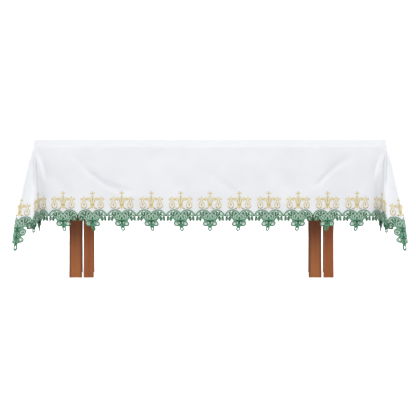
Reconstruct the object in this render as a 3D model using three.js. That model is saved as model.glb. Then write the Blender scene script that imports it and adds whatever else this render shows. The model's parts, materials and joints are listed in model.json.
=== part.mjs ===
// Altar cloth with a scalloped lace edging, draped over a plain trestle altar table.
// Millimetres, +Z up, the front faces -Y. The origin is on the floor under the middle of the table.

import * as THREE from 'three';
import { TessellateModifier } from 'three/addons/modifiers/TessellateModifier.js';
import { mergeGeometries, mergeVertices } from 'three/addons/utils/BufferGeometryUtils.js';

// Table board
const TABLE_LENGTH = 2400;
const TABLE_DEPTH = 800;
const TABLE_HEIGHT = 897.7;
const BOARD_THICKNESS = 25;
const BOARD_CORNER_RADIUS = 12;
const BOARD_BEVEL = 6;
const BOARD_CORNER_SEGMENTS = 2;

// Trestles: the left side of each board and its width, as seen from the front
const TRESTLES = [
  { name: 'left_wide', left: -958, width: 86 },
  { name: 'left_narrow', left: -861, width: 69 },
  { name: 'right_wide', left: 673, width: 86 },
  { name: 'right_narrow', left: 773, width: 69 },
];
const FRAME_DEPTH = 620;
const POST_DEPTH = 60;
const RAIL_HEIGHT = 60;
const RAIL_BOTTOM = 120;
const RAIL_SETBACK = 10;
const BEARER_LENGTH = 640;
const BEARER_HEIGHT = 45;
const BEARER_CHAMFER = 8;
const GAP = 0.3;

// Cloth
const CLOTH_TOP = 900;
const CLOTH_THICKNESS = 2;
const CLOTH_EDGE_RADIUS = 7;
const CLOTH_EDGE_OVERHANG = 4;
const ARCH_TOP_DROP = 428;
const HEM_DROP = 465;
const HANG_OUT = 22;
const FLARE = 0.36;
const FOLD_IN_FLARE = 0.6;
const FOLD_IN_BLEND = 10;

// Stations run round the cloth in lace repeats: 0 is the middle of the front, 10 the middle of
// the right end, 20 the middle of the back. The table corner is at station 6 on the long side
// and 8 on the short side, and the outward corner fold is about station 7.
const PITCH = 200;
const LOOP_STATIONS = 40;
const QUARTER_STATIONS = 10;
const LONG_SIDE_END = 6;
const SHORT_SIDE_END = 8;

// Hang of one corner. edge is where the cloth leaves the table edge, + along the long side and
// - along the short side from the corner. inX and inY are where it hangs at the hem, + towards
// the middle of the table. extra is how much lower the hem hangs than on the straight sides.
const CORNER_HANG = [
  { station: 5.0, edge: 200, inX: 200, inY: -22, extra: 0 },
  { station: 5.25, edge: 150, inX: 150, inY: -25, extra: 0 },
  { station: 5.5, edge: 100, inX: 102, inY: -16, extra: 0 },
  { station: 5.75, edge: 54, inX: 65, inY: 14, extra: 2 },
  { station: 6.0, edge: 20, inX: 37, inY: 42, extra: 10 },
  { station: 6.25, edge: 9, inX: 13, inY: 8, extra: 23 },
  { station: 6.5, edge: 5, inX: -10, inY: -32, extra: 37 },
  { station: 6.75, edge: 2.5, inX: -56, inY: -60, extra: 46 },
  { station: 7.0, edge: 0, inX: -106, inY: -74, extra: 46 },
  { station: 7.25, edge: -2.5, inX: -128, inY: -46, extra: 52 },
  { station: 7.5, edge: -5, inX: -92, inY: -10, extra: 44 },
  { station: 7.75, edge: -9, inX: -46, inY: 12, extra: 30 },
  { station: 8.0, edge: -20, inX: 0, inY: 34, extra: 16 },
  { station: 8.25, edge: -54, inX: 12, inY: 74, extra: 6 },
  { station: 8.5, edge: -100, inX: -14, inY: 112, extra: 0 },
  { station: 8.75, edge: -150, inX: -25, inY: 156, extra: 0 },
  { station: 9.0, edge: -200, inX: -22, inY: 200, extra: 0 },
];

// Below the hem the fold at each end of a long side closes up about one place: from where and over
// what share of the drop, within what stations, and how much narrower and deeper it gets
const CLOSING_FOLD = {
  station: 6, inX: 38, inY: 42, full: 0.2, reach: 0.5, from: 1, over: 0.16, narrower: 0.8, deeper: 0.4,
};

// Soft folds of the straight sides: station at half drop, lean in stations over the drop,
// half width in stations, how far it stands out, and where it fades in and out over the drop
const SOFT_FOLDS = [
  { at: -3.5, lean: 4.2, width: 0.45, out: 5, from: 0.12, to: 0.95 },
  { at: 3.8, lean: -2.9, width: 0.45, out: 5, from: 0.12, to: 0.95 },
  { at: -1.3, lean: 0.4, width: 0.8, out: 4, from: 0.1, to: 2 },
  { at: 1.1, lean: -0.3, width: 0.9, out: 3, from: 0.2, to: 2 },
  { at: 10.3, lean: 0.2, width: 0.5, out: -4, from: 0.1, to: 2 },
  { at: 17.2, lean: 0.6, width: 0.7, out: 5, from: 0.1, to: 2 },
  { at: 20.6, lean: -0.4, width: 0.9, out: 4, from: 0.1, to: 2 },
  { at: 23.1, lean: -0.8, width: 0.6, out: 4, from: 0.15, to: 2 },
  { at: 29.6, lean: 0.2, width: 0.5, out: -4, from: 0.1, to: 2 },
];
const FOLD_FADE = 0.25;

// Lace repeat, in its flat layout: x from its middle, y down from the top of its arches
const ARCH_RADIUS = 51;
const ARCH_CENTRE = 45;
const ARCH_HALF_WIDTH = 49;
const ARCH_SEGMENTS = 4;
const BRIDGE_Y = HEM_DROP - ARCH_TOP_DROP;
const BRIDGE_BOTTOM = 43;
const LACE_THICKNESS = 2;
const HEM_GAP = 0.8;
const CORNER_FACET = 55;
const PENDANT_START = 82;
const PENDANT_LEAN = 11;
const PENDANT_TIP = 146;

// Right half of the lower outline of a repeat, from the bridge to the tip of the pendant
const REPEAT_OUTLINE = [
  { part: 'outer leaf', x: 92, y: 75 },
  { part: 'between leaves', x: 81, y: 66 },
  { part: 'inner leaf', x: 68, y: 78 },
  { part: 'swag', x: 50, y: 69 },
  { part: 'knot', x: 25, y: 85 },
  { part: 'petal', x: 47, y: 99 },
  { part: 'under petal', x: 14, y: 114 },
  { part: 'loop side', x: 12, y: 133 },
];

// The same for the longer corner repeat
const CORNER_OUTLINE = [
  { part: 'outer leaf', x: 92, y: 75 },
  { part: 'between leaves', x: 81, y: 66 },
  { part: 'inner leaf', x: 68, y: 78 },
  { part: 'swag', x: 50, y: 70 },
  { part: 'knot', x: 29, y: 90 },
  { part: 'upper petal', x: 52, y: 116 },
  { part: 'under upper petal', x: 22, y: 130 },
  { part: 'lower petal', x: 43, y: 160 },
  { part: 'under lower petal', x: 15, y: 180 },
  { part: 'loop side', x: 14, y: 212 },
];
const CORNER_TIP = 232;

// Gaps cut through: the crescent under each arch is set by radius and angle about the arch
// centre, the others by their middle and half sizes. Each but the loop has a mirrored twin.
const CRESCENT = [
  { radius: 42, degrees: -40 },
  { radius: 42, degrees: 4 },
  { radius: 42, degrees: 48 },
  { radius: 34, degrees: 24 },
  { radius: 34, degrees: -14 },
];
const REPEAT_GAPS = [
  { part: 'side gap', x: 30, y: 57, halfWidth: 6, halfHeight: 11 },
  { part: 'petal gap', x: 30, y: 100, halfWidth: 9, halfHeight: 5.5 },
  { part: 'loop gap', x: 0, y: 129, halfWidth: 5.5, halfHeight: 8 },
];
const CORNER_GAPS = [
  { part: 'side gap', x: 30, y: 57, halfWidth: 6, halfHeight: 11 },
  { part: 'upper petal gap', x: 34, y: 115, halfWidth: 9, halfHeight: 6 },
  { part: 'lower petal gap', x: 27, y: 158, halfWidth: 8, halfHeight: 6 },
  { part: 'loop gap', x: 0, y: 208, halfWidth: 6, halfHeight: 11 },
];

// Lace lengths: middle stations of their first and last repeats
const LACE_LENGTHS = [
  { name: 'lace_front', first: -6, last: 6, leans: true },
  { name: 'lace_right', first: 8, last: 12, leans: false },
  { name: 'lace_back', first: 14, last: 26, leans: false },
  { name: 'lace_left', first: 28, last: 32, leans: false },
];
const LACE_CORNERS = [
  { name: 'lace_corner_front_right', station: 7 },
  { name: 'lace_corner_back_right', station: 13 },
  { name: 'lace_corner_back_left', station: 27 },
  { name: 'lace_corner_front_left', station: 33 },
];

// Columns of the cloth: spacing in stations on the straight sides and round the corners
const STRAIGHT_STEP = 0.5;
const CORNER_STEP = 1 / 6;
const CORNER_ZONE = { from: 5.5, to: 8.5 };
const HANG_ROWS = [0.25, 0.93];
const EDGE_ANGLES = [0, 45];

const MATERIALS = {
  linen: new THREE.MeshStandardMaterial({ color: 0xf3f5f7, roughness: 0.85, metalness: 0 }),
  lace: new THREE.MeshStandardMaterial({ color: 0x4f9a78, roughness: 0.7, metalness: 0 }),
  wood: new THREE.MeshStandardMaterial({ color: 0x8a5236, roughness: 0.5, metalness: 0 }),
};

function clamp01(value) {
  return Math.min(1, Math.max(0, value));
}

function smooth01(value) {
  const v = clamp01(value);
  return v * v * (3 - 2 * v);
}

// Smooth value of one column of a table at a station, through every row
function tableValue(rows, station, column) {
  const last = rows.length - 1;
  let i = 0;
  while (i < last - 1 && rows[i + 1].station < station) i += 1;
  const slope = (j) => {
    const a = rows[Math.max(0, j - 1)];
    const b = rows[Math.min(last, j + 1)];
    return (b[column] - a[column]) / (b.station - a.station);
  };
  const span = rows[i + 1].station - rows[i].station;
  const t = clamp01((station - rows[i].station) / span);
  const t2 = t * t;
  const t3 = t2 * t;
  return rows[i][column] * (2 * t3 - 3 * t2 + 1)
    + slope(i) * span * (t3 - 2 * t2 + t)
    + rows[i + 1][column] * (3 * t2 - 2 * t3)
    + slope(i + 1) * span * (t3 - t2);
}

// One quarter of the loop, with the sides it is mirrored to
function quarterOf(station) {
  const s = ((station % LOOP_STATIONS) + LOOP_STATIONS) % LOOP_STATIONS;
  const quarter = Math.floor(s / QUARTER_STATIONS);
  const within = s - quarter * QUARTER_STATIONS;
  const mirrored = quarter % 2 === 1;
  return {
    q: mirrored ? QUARTER_STATIONS - within : within,
    sideX: quarter < 2 ? 1 : -1,
    sideY: quarter === 0 || quarter === 3 ? -1 : 1,
  };
}

// Where the cloth leaves the edge and where it hangs at the hem, for a quarter's station
function hangAt(q) {
  if (q <= CORNER_HANG[0].station) {
    const along = (LONG_SIDE_END - q) * PITCH;
    return { edge: along, inX: along, inY: -HANG_OUT, extra: 0 };
  }
  if (q >= CORNER_HANG[CORNER_HANG.length - 1].station) {
    const along = (q - SHORT_SIDE_END) * PITCH;
    return { edge: -along, inX: -HANG_OUT, inY: along, extra: 0 };
  }
  return {
    edge: tableValue(CORNER_HANG, q, 'edge'),
    inX: tableValue(CORNER_HANG, q, 'inX'),
    inY: tableValue(CORNER_HANG, q, 'inY'),
    extra: tableValue(CORNER_HANG, q, 'extra'),
  };
}

// Point of the rounded table outline grown by out, as distances in from the two edges
function outlinePoint(edge, out) {
  const r = BOARD_CORNER_RADIUS;
  if (edge >= r) return { inX: edge, inY: -out };
  if (edge <= -r) return { inX: -out, inY: -edge };
  const angle = (1 - edge / r) * Math.PI / 4;
  return { inX: r - (r + out) * Math.sin(angle), inY: r - (r + out) * Math.cos(angle) };
}

// How far the soft folds stand out at a station, at a share t of the drop
function softFold(station, t) {
  let out = 0;
  for (const fold of SOFT_FOLDS) {
    const middle = fold.at + fold.lean * (t - 0.5);
    const turns = Math.round((station - middle) / LOOP_STATIONS);
    const away = (station - middle - turns * LOOP_STATIONS) / fold.width;
    const fadeIn = smooth01((t - fold.from) / FOLD_FADE);
    const fadeOut = smooth01((fold.to - t) / FOLD_FADE);
    out += fold.out * Math.exp(-away * away) * fadeIn * fadeOut;
  }
  return out;
}

// Folds die away towards the corners, which have folds of their own
function foldReach(q) {
  const fromLong = smooth01((CORNER_HANG[0].station + 0.5 - q) / 1);
  const fromShort = smooth01((q - SHORT_SIDE_END - 0.5) / 1);
  return Math.max(fromLong, fromShort);
}

function closedFold(q, t, { inX, inY }) {
  const fold = CLOSING_FOLD;
  const near = smooth01((fold.reach - Math.abs(q - fold.station)) / (fold.reach - fold.full));
  const share = near * smooth01((t - fold.from) / fold.over);
  return {
    inX: inX + (fold.inX - inX) * fold.narrower * share,
    inY: inY + (inY - fold.inY) * fold.deeper * share,
  };
}

function archTopDrop(station) {
  return ARCH_TOP_DROP + hangAt(quarterOf(station).q).extra;
}

function placed(sideX, sideY, inX, inY, z) {
  return new THREE.Vector3(sideX * (TABLE_LENGTH / 2 - inX), sideY * (TABLE_DEPTH / 2 - inY), z);
}

// Outer face of the hanging cloth at a station and a drop below its top
function hangingPoint(station, drop) {
  const { q, sideX, sideY } = quarterOf(station);
  const hang = hangAt(q);
  const start = outlinePoint(hang.edge, CLOTH_EDGE_OVERHANG);
  const beyond = outlinePoint(hang.edge, CLOTH_EDGE_OVERHANG + 1);
  const t = (drop - CLOTH_EDGE_RADIUS) / (HEM_DROP + hang.extra - CLOTH_EDGE_RADIUS);
  const inward = smooth01((Math.min(hang.inX, hang.inY) + FOLD_IN_BLEND) / (2 * FOLD_IN_BLEND));
  const swingOut = t * (1 + FLARE * (1 - t));
  const swingIn = t * t * (1 + FOLD_IN_FLARE * (1 - t));
  const swing = swingOut + (swingIn - swingOut) * inward;
  const fold = softFold(station, t) * foldReach(q);
  const point = closedFold(q, t, {
    inX: start.inX + (hang.inX - start.inX) * swing + (beyond.inX - start.inX) * fold,
    inY: start.inY + (hang.inY - start.inY) * swing + (beyond.inY - start.inY) * fold,
  });
  return placed(sideX, sideY, point.inX, point.inY, CLOTH_TOP - drop);
}

// Outward direction of the hanging cloth
function hangingNormal(station, drop) {
  const stepStation = 0.01;
  const stepDrop = 1;
  const along = hangingPoint(station + stepStation, drop).sub(hangingPoint(station - stepStation, drop));
  const down = hangingPoint(station, drop + stepDrop).sub(hangingPoint(station, drop - stepDrop));
  return down.cross(along).normalize();
}

// Point of the hanging cloth at a depth in from its outer face
function hangingAt(station, drop, depth) {
  return hangingPoint(station, drop).addScaledVector(hangingNormal(station, drop), -depth);
}

// Point of the bend over the table edge, degrees 0 on the top and 90 on the side
function bendPoint(station, degrees, depth) {
  const { q, sideX, sideY } = quarterOf(station);
  const radius = CLOTH_EDGE_RADIUS - depth;
  const angle = THREE.MathUtils.degToRad(degrees);
  const out = CLOTH_EDGE_OVERHANG - CLOTH_EDGE_RADIUS + radius * Math.sin(angle);
  const point = outlinePoint(hangAt(q).edge, out);
  const z = CLOTH_TOP - CLOTH_EDGE_RADIUS + radius * Math.cos(angle);
  return placed(sideX, sideY, point.inX, point.inY, z);
}

// Right arch of a repeat from the cusp to the bridge, on a circle of the given radius
function archPoints(radius) {
  const toCusp = Math.asin(ARCH_CENTRE / ARCH_RADIUS);
  const toBridge = Math.asin(ARCH_HALF_WIDTH / ARCH_RADIUS);
  const points = [];
  for (let i = 1; i < ARCH_SEGMENTS; i += 1) {
    const angle = -toCusp + (toCusp + toBridge) * i / ARCH_SEGMENTS;
    const x = ARCH_CENTRE + radius * Math.sin(angle);
    points.push(new THREE.Vector2(x, ARCH_RADIUS - radius * Math.cos(angle)));
  }
  const cuspY = ARCH_RADIUS - Math.sqrt(radius * radius - ARCH_CENTRE * ARCH_CENTRE);
  points.unshift(new THREE.Vector2(0, cuspY));
  points.push(new THREE.Vector2(ARCH_CENTRE + ARCH_HALF_WIDTH, BRIDGE_Y + ARCH_RADIUS - radius));
  return points;
}

function mirrored(points) {
  return points.map((p) => new THREE.Vector2(-p.x, p.y)).reverse();
}

// Both arches of a repeat, left to right
function scallop(radius) {
  const right = archPoints(radius);
  return [...mirrored(right.slice(1)), ...right];
}

// Stations of the cloth's columns, round the whole loop
function columnStations() {
  const quarter = [];
  for (let q = 0; q < CORNER_ZONE.from - 1e-6; q += STRAIGHT_STEP) quarter.push(q);
  const corners = Math.round((CORNER_ZONE.to - CORNER_ZONE.from) / CORNER_STEP);
  for (let i = 0; i <= corners; i += 1) quarter.push(CORNER_ZONE.from + i * CORNER_STEP);
  for (let q = CORNER_ZONE.to + STRAIGHT_STEP; q < QUARTER_STATIONS + 1e-6; q += STRAIGHT_STEP) {
    quarter.push(q);
  }
  const half = [...quarter, ...quarter.slice(0, -1).reverse().map((q) => 2 * QUARTER_STATIONS - q)];
  const loop = half.slice(0, -1);
  return [...loop, ...loop.map((s) => s + 2 * QUARTER_STATIONS)];
}

// Hem of the cloth: its stations and drops along every scallop
function hemLine() {
  const line = [];
  for (let k = 0; k < LOOP_STATIONS; k += 1) {
    for (const p of scallop(ARCH_RADIUS)) line.push({ station: k + p.x / PITCH, y: p.y });
  }
  return line;
}

// A ring is a closed row of points with rising stations
function ring(stations, pointAt) {
  return stations.map((station) => ({ station, point: pointAt(station) }));
}

// Triangles between an upper and a lower ring, which may have different numbers of points
function stitchRings(upper, lower, triangles) {
  const next = (row, i) => (i + 1 < row.length ? row[i + 1].station : row[0].station + LOOP_STATIONS);
  let i = 0;
  let j = 0;
  while (i < upper.length || j < lower.length) {
    const a = upper[i % upper.length].point;
    const b = lower[j % lower.length].point;
    const nextUpper = i < upper.length ? next(upper, i) : Infinity;
    const nextLower = j < lower.length ? next(lower, j) : Infinity;
    if (nextLower <= nextUpper) {
      triangles.push([a, b, lower[(j + 1) % lower.length].point]);
      j += 1;
    } else {
      triangles.push([a, b, upper[(i + 1) % upper.length].point]);
      i += 1;
    }
  }
}

// Flat face inside a ring, looking up or down
function capRing(row, facesUp, triangles) {
  const contour = row.map(({ point }) => new THREE.Vector2(point.x, point.y));
  for (const [a, b, c] of THREE.ShapeUtils.triangulateShape(contour, [])) {
    const corners = [row[a].point, row[b].point, row[c].point];
    triangles.push(facesUp ? corners : corners.reverse());
  }
}

// Closed geometry of a list of triangles
function geometryOf(triangles) {
  const geometry = new THREE.BufferGeometry().setFromPoints(triangles.flat());
  return finished(geometry);
}

function finished(geometry) {
  geometry.deleteAttribute('normal');
  geometry.deleteAttribute('uv');
  const merged = mergeVertices(geometry, 1e-4);
  merged.computeVertexNormals();
  return merged;
}

// The cloth as one sheet: down its outer face, round the hem and back up its inner face
function clothGeometry() {
  const stations = columnStations();
  const hem = hemLine();
  const face = (depth) => [
    ...EDGE_ANGLES.map((degrees) => ring(stations, (s) => bendPoint(s, degrees, depth))),
    ring(stations, (s) => bendPoint(s, 90, depth)),
    ...HANG_ROWS.map((share) => ring(stations, (s) => {
      const drop = CLOTH_EDGE_RADIUS + share * (archTopDrop(s) - CLOTH_EDGE_RADIUS);
      return hangingAt(s, drop, depth);
    })),
    hem.map(({ station, y }) => (
      { station, point: hangingAt(station, archTopDrop(station) + y, depth) })),
  ];
  const rows = [...face(0), ...face(CLOTH_THICKNESS).reverse()];
  const triangles = [];
  for (let i = 0; i + 1 < rows.length; i += 1) stitchRings(rows[i], rows[i + 1], triangles);
  capRing(rows[0], true, triangles);
  capRing(rows[rows.length - 1], false, triangles);
  return geometryOf(triangles);
}

// Outline of a lace repeat, between the left and right ends x
function repeatOutline(lower, tip, left, right) {
  const top = scallop(ARCH_RADIUS - HEM_GAP);
  const low = lower.map(({ x, y }) => new THREE.Vector2(x, y));
  return [
    new THREE.Vector2(left, top[0].y),
    ...top,
    new THREE.Vector2(right, top[0].y),
    new THREE.Vector2(right, BRIDGE_BOTTOM),
    ...low,
    new THREE.Vector2(0, tip),
    ...mirrored(low),
    new THREE.Vector2(left, BRIDGE_BOTTOM),
  ];
}

function crescentGap() {
  return CRESCENT.map(({ radius, degrees }) => {
    const angle = THREE.MathUtils.degToRad(degrees);
    const x = ARCH_CENTRE + radius * Math.sin(angle);
    return new THREE.Vector2(x, ARCH_RADIUS - radius * Math.cos(angle));
  });
}

function diamondGap({ x, y, halfWidth, halfHeight }) {
  return [
    new THREE.Vector2(x, y - halfHeight),
    new THREE.Vector2(x + halfWidth, y),
    new THREE.Vector2(x, y + halfHeight),
    new THREE.Vector2(x - halfWidth, y),
  ];
}

// Every gap of a repeat, with the mirrored twins
function repeatGaps(gaps) {
  const right = [crescentGap(), ...gaps.filter(({ x }) => x > 0).map(diamondGap)];
  const middle = gaps.filter(({ x }) => x === 0).map(diamondGap);
  return [...right, ...right.map(mirrored), ...middle];
}

// The pendant leans sideways below its knot
function leaned(points, lean) {
  return points.map((p) => {
    const share = Math.max(0, p.y - PENDANT_START) / (PENDANT_TIP - PENDANT_START);
    return new THREE.Vector2(p.x + lean * share, p.y);
  });
}

// Flat lace repeat round its own middle
function flatRepeat({ lower, tip, gaps, lean, left, right }) {
  const shape = new THREE.Shape(leaned(repeatOutline(lower, tip, left, right), lean));
  for (const gap of repeatGaps(gaps)) shape.holes.push(new THREE.Path(leaned(gap, lean)));
  return new THREE.ExtrudeGeometry(shape, { depth: LACE_THICKNESS, steps: 1, bevelEnabled: false });
}

// Drops the end walls where a repeat runs on into the next one
function withoutWalls(geometry, walls) {
  const p = geometry.getAttribute('position');
  const kept = [];
  for (let i = 0; i < p.count; i += 3) {
    const onWall = walls.some((x) => [0, 1, 2].every((j) => Math.abs(p.getX(i + j) - x) < 1e-4));
    for (let j = 0; j < 3 && !onWall; j += 1) {
      kept.push(new THREE.Vector3().fromBufferAttribute(p, i + j));
    }
  }
  return new THREE.BufferGeometry().setFromPoints(kept);
}

// Lays flat lace on the run of the hanging cloth, round the given middle station. Repeats in a
// corner are divided more finely, to follow its folds.
function draped(flat, middle) {
  const q = quarterOf(middle).q;
  const inCorner = q > LONG_SIDE_END - 0.5 && q < SHORT_SIDE_END + 0.5;
  const geometry = inCorner ? new TessellateModifier(CORNER_FACET, 8).modify(flat) : flat;
  const p = geometry.getAttribute('position');
  for (let i = 0; i < p.count; i += 1) {
    const station = middle + p.getX(i) / PITCH;
    const point = hangingAt(station, archTopDrop(station) + p.getY(i), p.getZ(i));
    p.setXYZ(i, point.x, point.y, point.z);
  }
  return geometry;
}

// One length of lace from its first repeat to its last
function laceLengthGeometry({ first, last, leans }) {
  const repeats = [];
  for (let k = first; k <= last; k += 1) {
    const left = k === first ? GAP / 2 - PITCH / 2 : -PITCH / 2;
    const right = k === last ? PITCH / 2 - GAP / 2 : PITCH / 2;
    const walls = [...(k > first ? [left] : []), ...(k < last ? [right] : [])];
    const lean = leans ? -Math.sign(k) * PENDANT_LEAN : 0;
    const flat = flatRepeat({
      lower: REPEAT_OUTLINE, tip: PENDANT_TIP, gaps: REPEAT_GAPS, lean, left, right,
    });
    repeats.push(draped(withoutWalls(flat, walls), k));
  }
  return finished(mergeGeometries(repeats));
}

function laceCornerGeometry({ station }) {
  const end = PITCH / 2 - GAP / 2;
  const flat = flatRepeat({
    lower: CORNER_OUTLINE, tip: CORNER_TIP, gaps: CORNER_GAPS, lean: 0, left: -end, right: end,
  });
  return finished(draped(flat, station));
}

function roundedRectangle(length, depth, radius) {
  const x = length / 2;
  const y = depth / 2;
  const quarter = Math.PI / 2;
  const shape = new THREE.Shape();
  shape.moveTo(x, y - radius);
  shape.absarc(x - radius, y - radius, radius, 0, quarter);
  shape.absarc(radius - x, y - radius, radius, quarter, 2 * quarter);
  shape.absarc(radius - x, radius - y, radius, 2 * quarter, 3 * quarter);
  shape.absarc(x - radius, radius - y, radius, 3 * quarter, 4 * quarter);
  return shape;
}

function tableBoardGeometry() {
  const shape = roundedRectangle(TABLE_LENGTH, TABLE_DEPTH, BOARD_CORNER_RADIUS);
  return new THREE.ExtrudeGeometry(shape, {
    depth: BOARD_THICKNESS - 2 * BOARD_BEVEL,
    curveSegments: BOARD_CORNER_SEGMENTS,
    bevelEnabled: true,
    bevelThickness: BOARD_BEVEL,
    bevelSize: BOARD_BEVEL,
    bevelOffset: -BOARD_BEVEL,
    bevelSegments: 1,
  });
}

// A side profile, y back and z up, made width wide from x = 0
function sideProfileGeometry(profile, width) {
  const shape = new THREE.Shape(profile.map(([y, z]) => new THREE.Vector2(y, z)));
  const geometry = new THREE.ExtrudeGeometry(shape, { depth: width, steps: 1, bevelEnabled: false });
  const turn = new THREE.Matrix4().makeBasis(
    new THREE.Vector3(0, 1, 0), new THREE.Vector3(0, 0, 1), new THREE.Vector3(1, 0, 0));
  return geometry.applyMatrix4(turn);
}

function bearerGeometry(width) {
  const end = BEARER_LENGTH / 2;
  const flat = end - BEARER_CHAMFER;
  return sideProfileGeometry([
    [-flat, 0], [flat, 0], [end, BEARER_CHAMFER], [end, BEARER_HEIGHT], [-end, BEARER_HEIGHT],
    [-end, BEARER_CHAMFER],
  ], width);
}

function named(name, geometry, material) {
  const mesh = new THREE.Mesh(geometry, material.clone());
  mesh.name = name;
  return mesh;
}

function tableBoard() {
  const board = named('table_board', tableBoardGeometry(), MATERIALS.wood);
  board.position.z = TABLE_HEIGHT - BOARD_THICKNESS + BOARD_BEVEL;
  return board;
}

// A block of one trestle, width wide from x = inset, between two places along y and two heights
function trestleBlock(name, width, inset, [front, back], [bottom, top]) {
  const box = new THREE.BoxGeometry(width - 2 * inset, back - front, top - bottom);
  const block = named(name, box, MATERIALS.wood);
  block.position.set(width / 2, (front + back) / 2, (bottom + top) / 2);
  return block;
}

// Two posts with a low rail between them and a bearer on top, a gap apart
function trestle({ name, left, width }) {
  const group = new THREE.Group();
  group.position.x = left;
  const bearerZ = TABLE_HEIGHT - BOARD_THICKNESS - GAP - BEARER_HEIGHT;
  const end = FRAME_DEPTH / 2;
  const inner = end - POST_DEPTH;
  const posts = [0, bearerZ - GAP];
  const rail = [RAIL_BOTTOM, RAIL_BOTTOM + RAIL_HEIGHT];
  const bearer = named(`bearer_${name}`, bearerGeometry(width), MATERIALS.wood);
  bearer.position.z = bearerZ;
  group.add(
    trestleBlock(`post_front_${name}`, width, 0, [-end, -inner], posts),
    trestleBlock(`post_back_${name}`, width, 0, [inner, end], posts),
    trestleBlock(`rail_${name}`, width, RAIL_SETBACK, [GAP - inner, inner - GAP], rail),
    bearer,
  );
  return group;
}

function altarCloth() {
  const group = new THREE.Group();
  group.add(named('cloth', clothGeometry(), MATERIALS.linen));
  for (const length of LACE_LENGTHS) {
    group.add(named(length.name, laceLengthGeometry(length), MATERIALS.lace));
  }
  for (const corner of LACE_CORNERS) {
    group.add(named(corner.name, laceCornerGeometry(corner), MATERIALS.lace));
  }
  group.add(tableBoard());
  for (const row of TRESTLES) group.add(trestle(row));
  return group;
}

export default altarCloth();
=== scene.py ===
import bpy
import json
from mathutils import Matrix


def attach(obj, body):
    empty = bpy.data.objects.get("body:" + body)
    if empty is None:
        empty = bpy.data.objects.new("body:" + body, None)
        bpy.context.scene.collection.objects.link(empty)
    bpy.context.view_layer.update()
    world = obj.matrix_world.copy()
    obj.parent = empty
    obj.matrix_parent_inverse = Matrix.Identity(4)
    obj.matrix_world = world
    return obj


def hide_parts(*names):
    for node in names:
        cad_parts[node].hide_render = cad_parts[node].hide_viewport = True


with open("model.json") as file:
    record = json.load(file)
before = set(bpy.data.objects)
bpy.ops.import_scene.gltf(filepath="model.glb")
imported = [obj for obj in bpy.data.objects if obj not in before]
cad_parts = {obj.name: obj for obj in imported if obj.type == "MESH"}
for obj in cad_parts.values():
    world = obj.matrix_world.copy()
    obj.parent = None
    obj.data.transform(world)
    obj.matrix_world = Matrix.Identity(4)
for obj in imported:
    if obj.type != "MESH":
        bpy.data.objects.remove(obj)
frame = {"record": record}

"""An altar cloth with gold embroidery and a green lace edging on a trestle altar table.

Lengths are in millimetres while a shape is worked out, and in metres once it is a mesh.
"""

import json
import logging
import math
from dataclasses import dataclass, field
from enum import Enum
from typing import ClassVar, Iterable, Mapping, Sequence

import bpy
import numpy as np
from mathutils import Vector
from mathutils.geometry import delaunay_2d_cdt

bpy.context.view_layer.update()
LOG = logging.getLogger("altar_cloth")
MM = 0.001
Colour = tuple[float, float, float, float]
Place = tuple[float, float, float]
Pair = tuple[float, float]
Oval = tuple[float, float, float, float]


def linear(red: float, green: float, blue: float) -> Colour:
    """Turn display values from 0 to 255 into a linear colour.

    A share v of 255 becomes v / 12.92 up to 0.04045, and ((v + 0.055) / 1.055) to the power
    of 2.4 above.

    Args:
        red: display red.
        green: display green.
        blue: display blue.

    Returns:
        The linear red, green and blue, and 1 for alpha.
    """
    shares = [value / 255.0 for value in (red, green, blue)]
    r, g, b = (v / 12.92 if v <= 0.04045 else ((v + 0.055) / 1.055) ** 2.4 for v in shares)
    return r, g, b, 1.0


def add_object(name: str, data: bpy.types.ID) -> bpy.types.Object:
    """Make an object of a mesh, light or camera and put it into the scene.

    Args:
        name: the object's name.
        data: its mesh, light or camera.

    Returns:
        The new object.
    """
    made = bpy.data.objects.new(name, data)
    bpy.context.scene.collection.objects.link(made)
    return made


def smooth01(value: np.ndarray) -> np.ndarray:
    """Ease from 0 to 1 as the value goes from 0 to 1, level at both ends.

    Args:
        value: any numbers.

    Returns:
        3 v squared - 2 v cubed of the clamped values.
    """
    v = np.clip(value, 0.0, 1.0)
    return v * v * (3.0 - 2.0 * v)


class CornerColumn(Enum):
    """Columns of the corner hang table, by their place in a row."""

    EDGE = 1
    IN_X = 2
    IN_Y = 3
    EXTRA = 4


@dataclass(frozen=True)
class SoftFold:
    """One soft fold of a straight side.

    at is its station at half drop, lean its slope in stations over the drop, width its half
    width in stations, out how far it stands out, and start and stop where it fades over the drop.
    """

    at: float
    lean: float
    width: float
    out: float
    start: float
    stop: float


@dataclass(frozen=True)
class ClosingFold:
    """How the fold at each end of a long side closes up near the hem.

    It closes about station, at in_x and in_y, fully within the stations full and no longer at
    reach, from the share start of the drop on. It gets narrower across and deeper.
    """

    station: float = 6.0
    in_x: float = 38.0
    in_y: float = 42.0
    full: float = 0.2
    reach: float = 0.5
    start: float = 1.0
    over: float = 0.16
    narrower: float = 0.8
    deeper: float = 0.4

    def share(self, q: np.ndarray, t: np.ndarray) -> np.ndarray:
        """Give how far the fold has closed at stations of a quarter and shares of the drop."""
        near = smooth01((self.reach - np.abs(q - self.station)) / (self.reach - self.full))
        return near * smooth01((t - self.start) / self.over)


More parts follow.
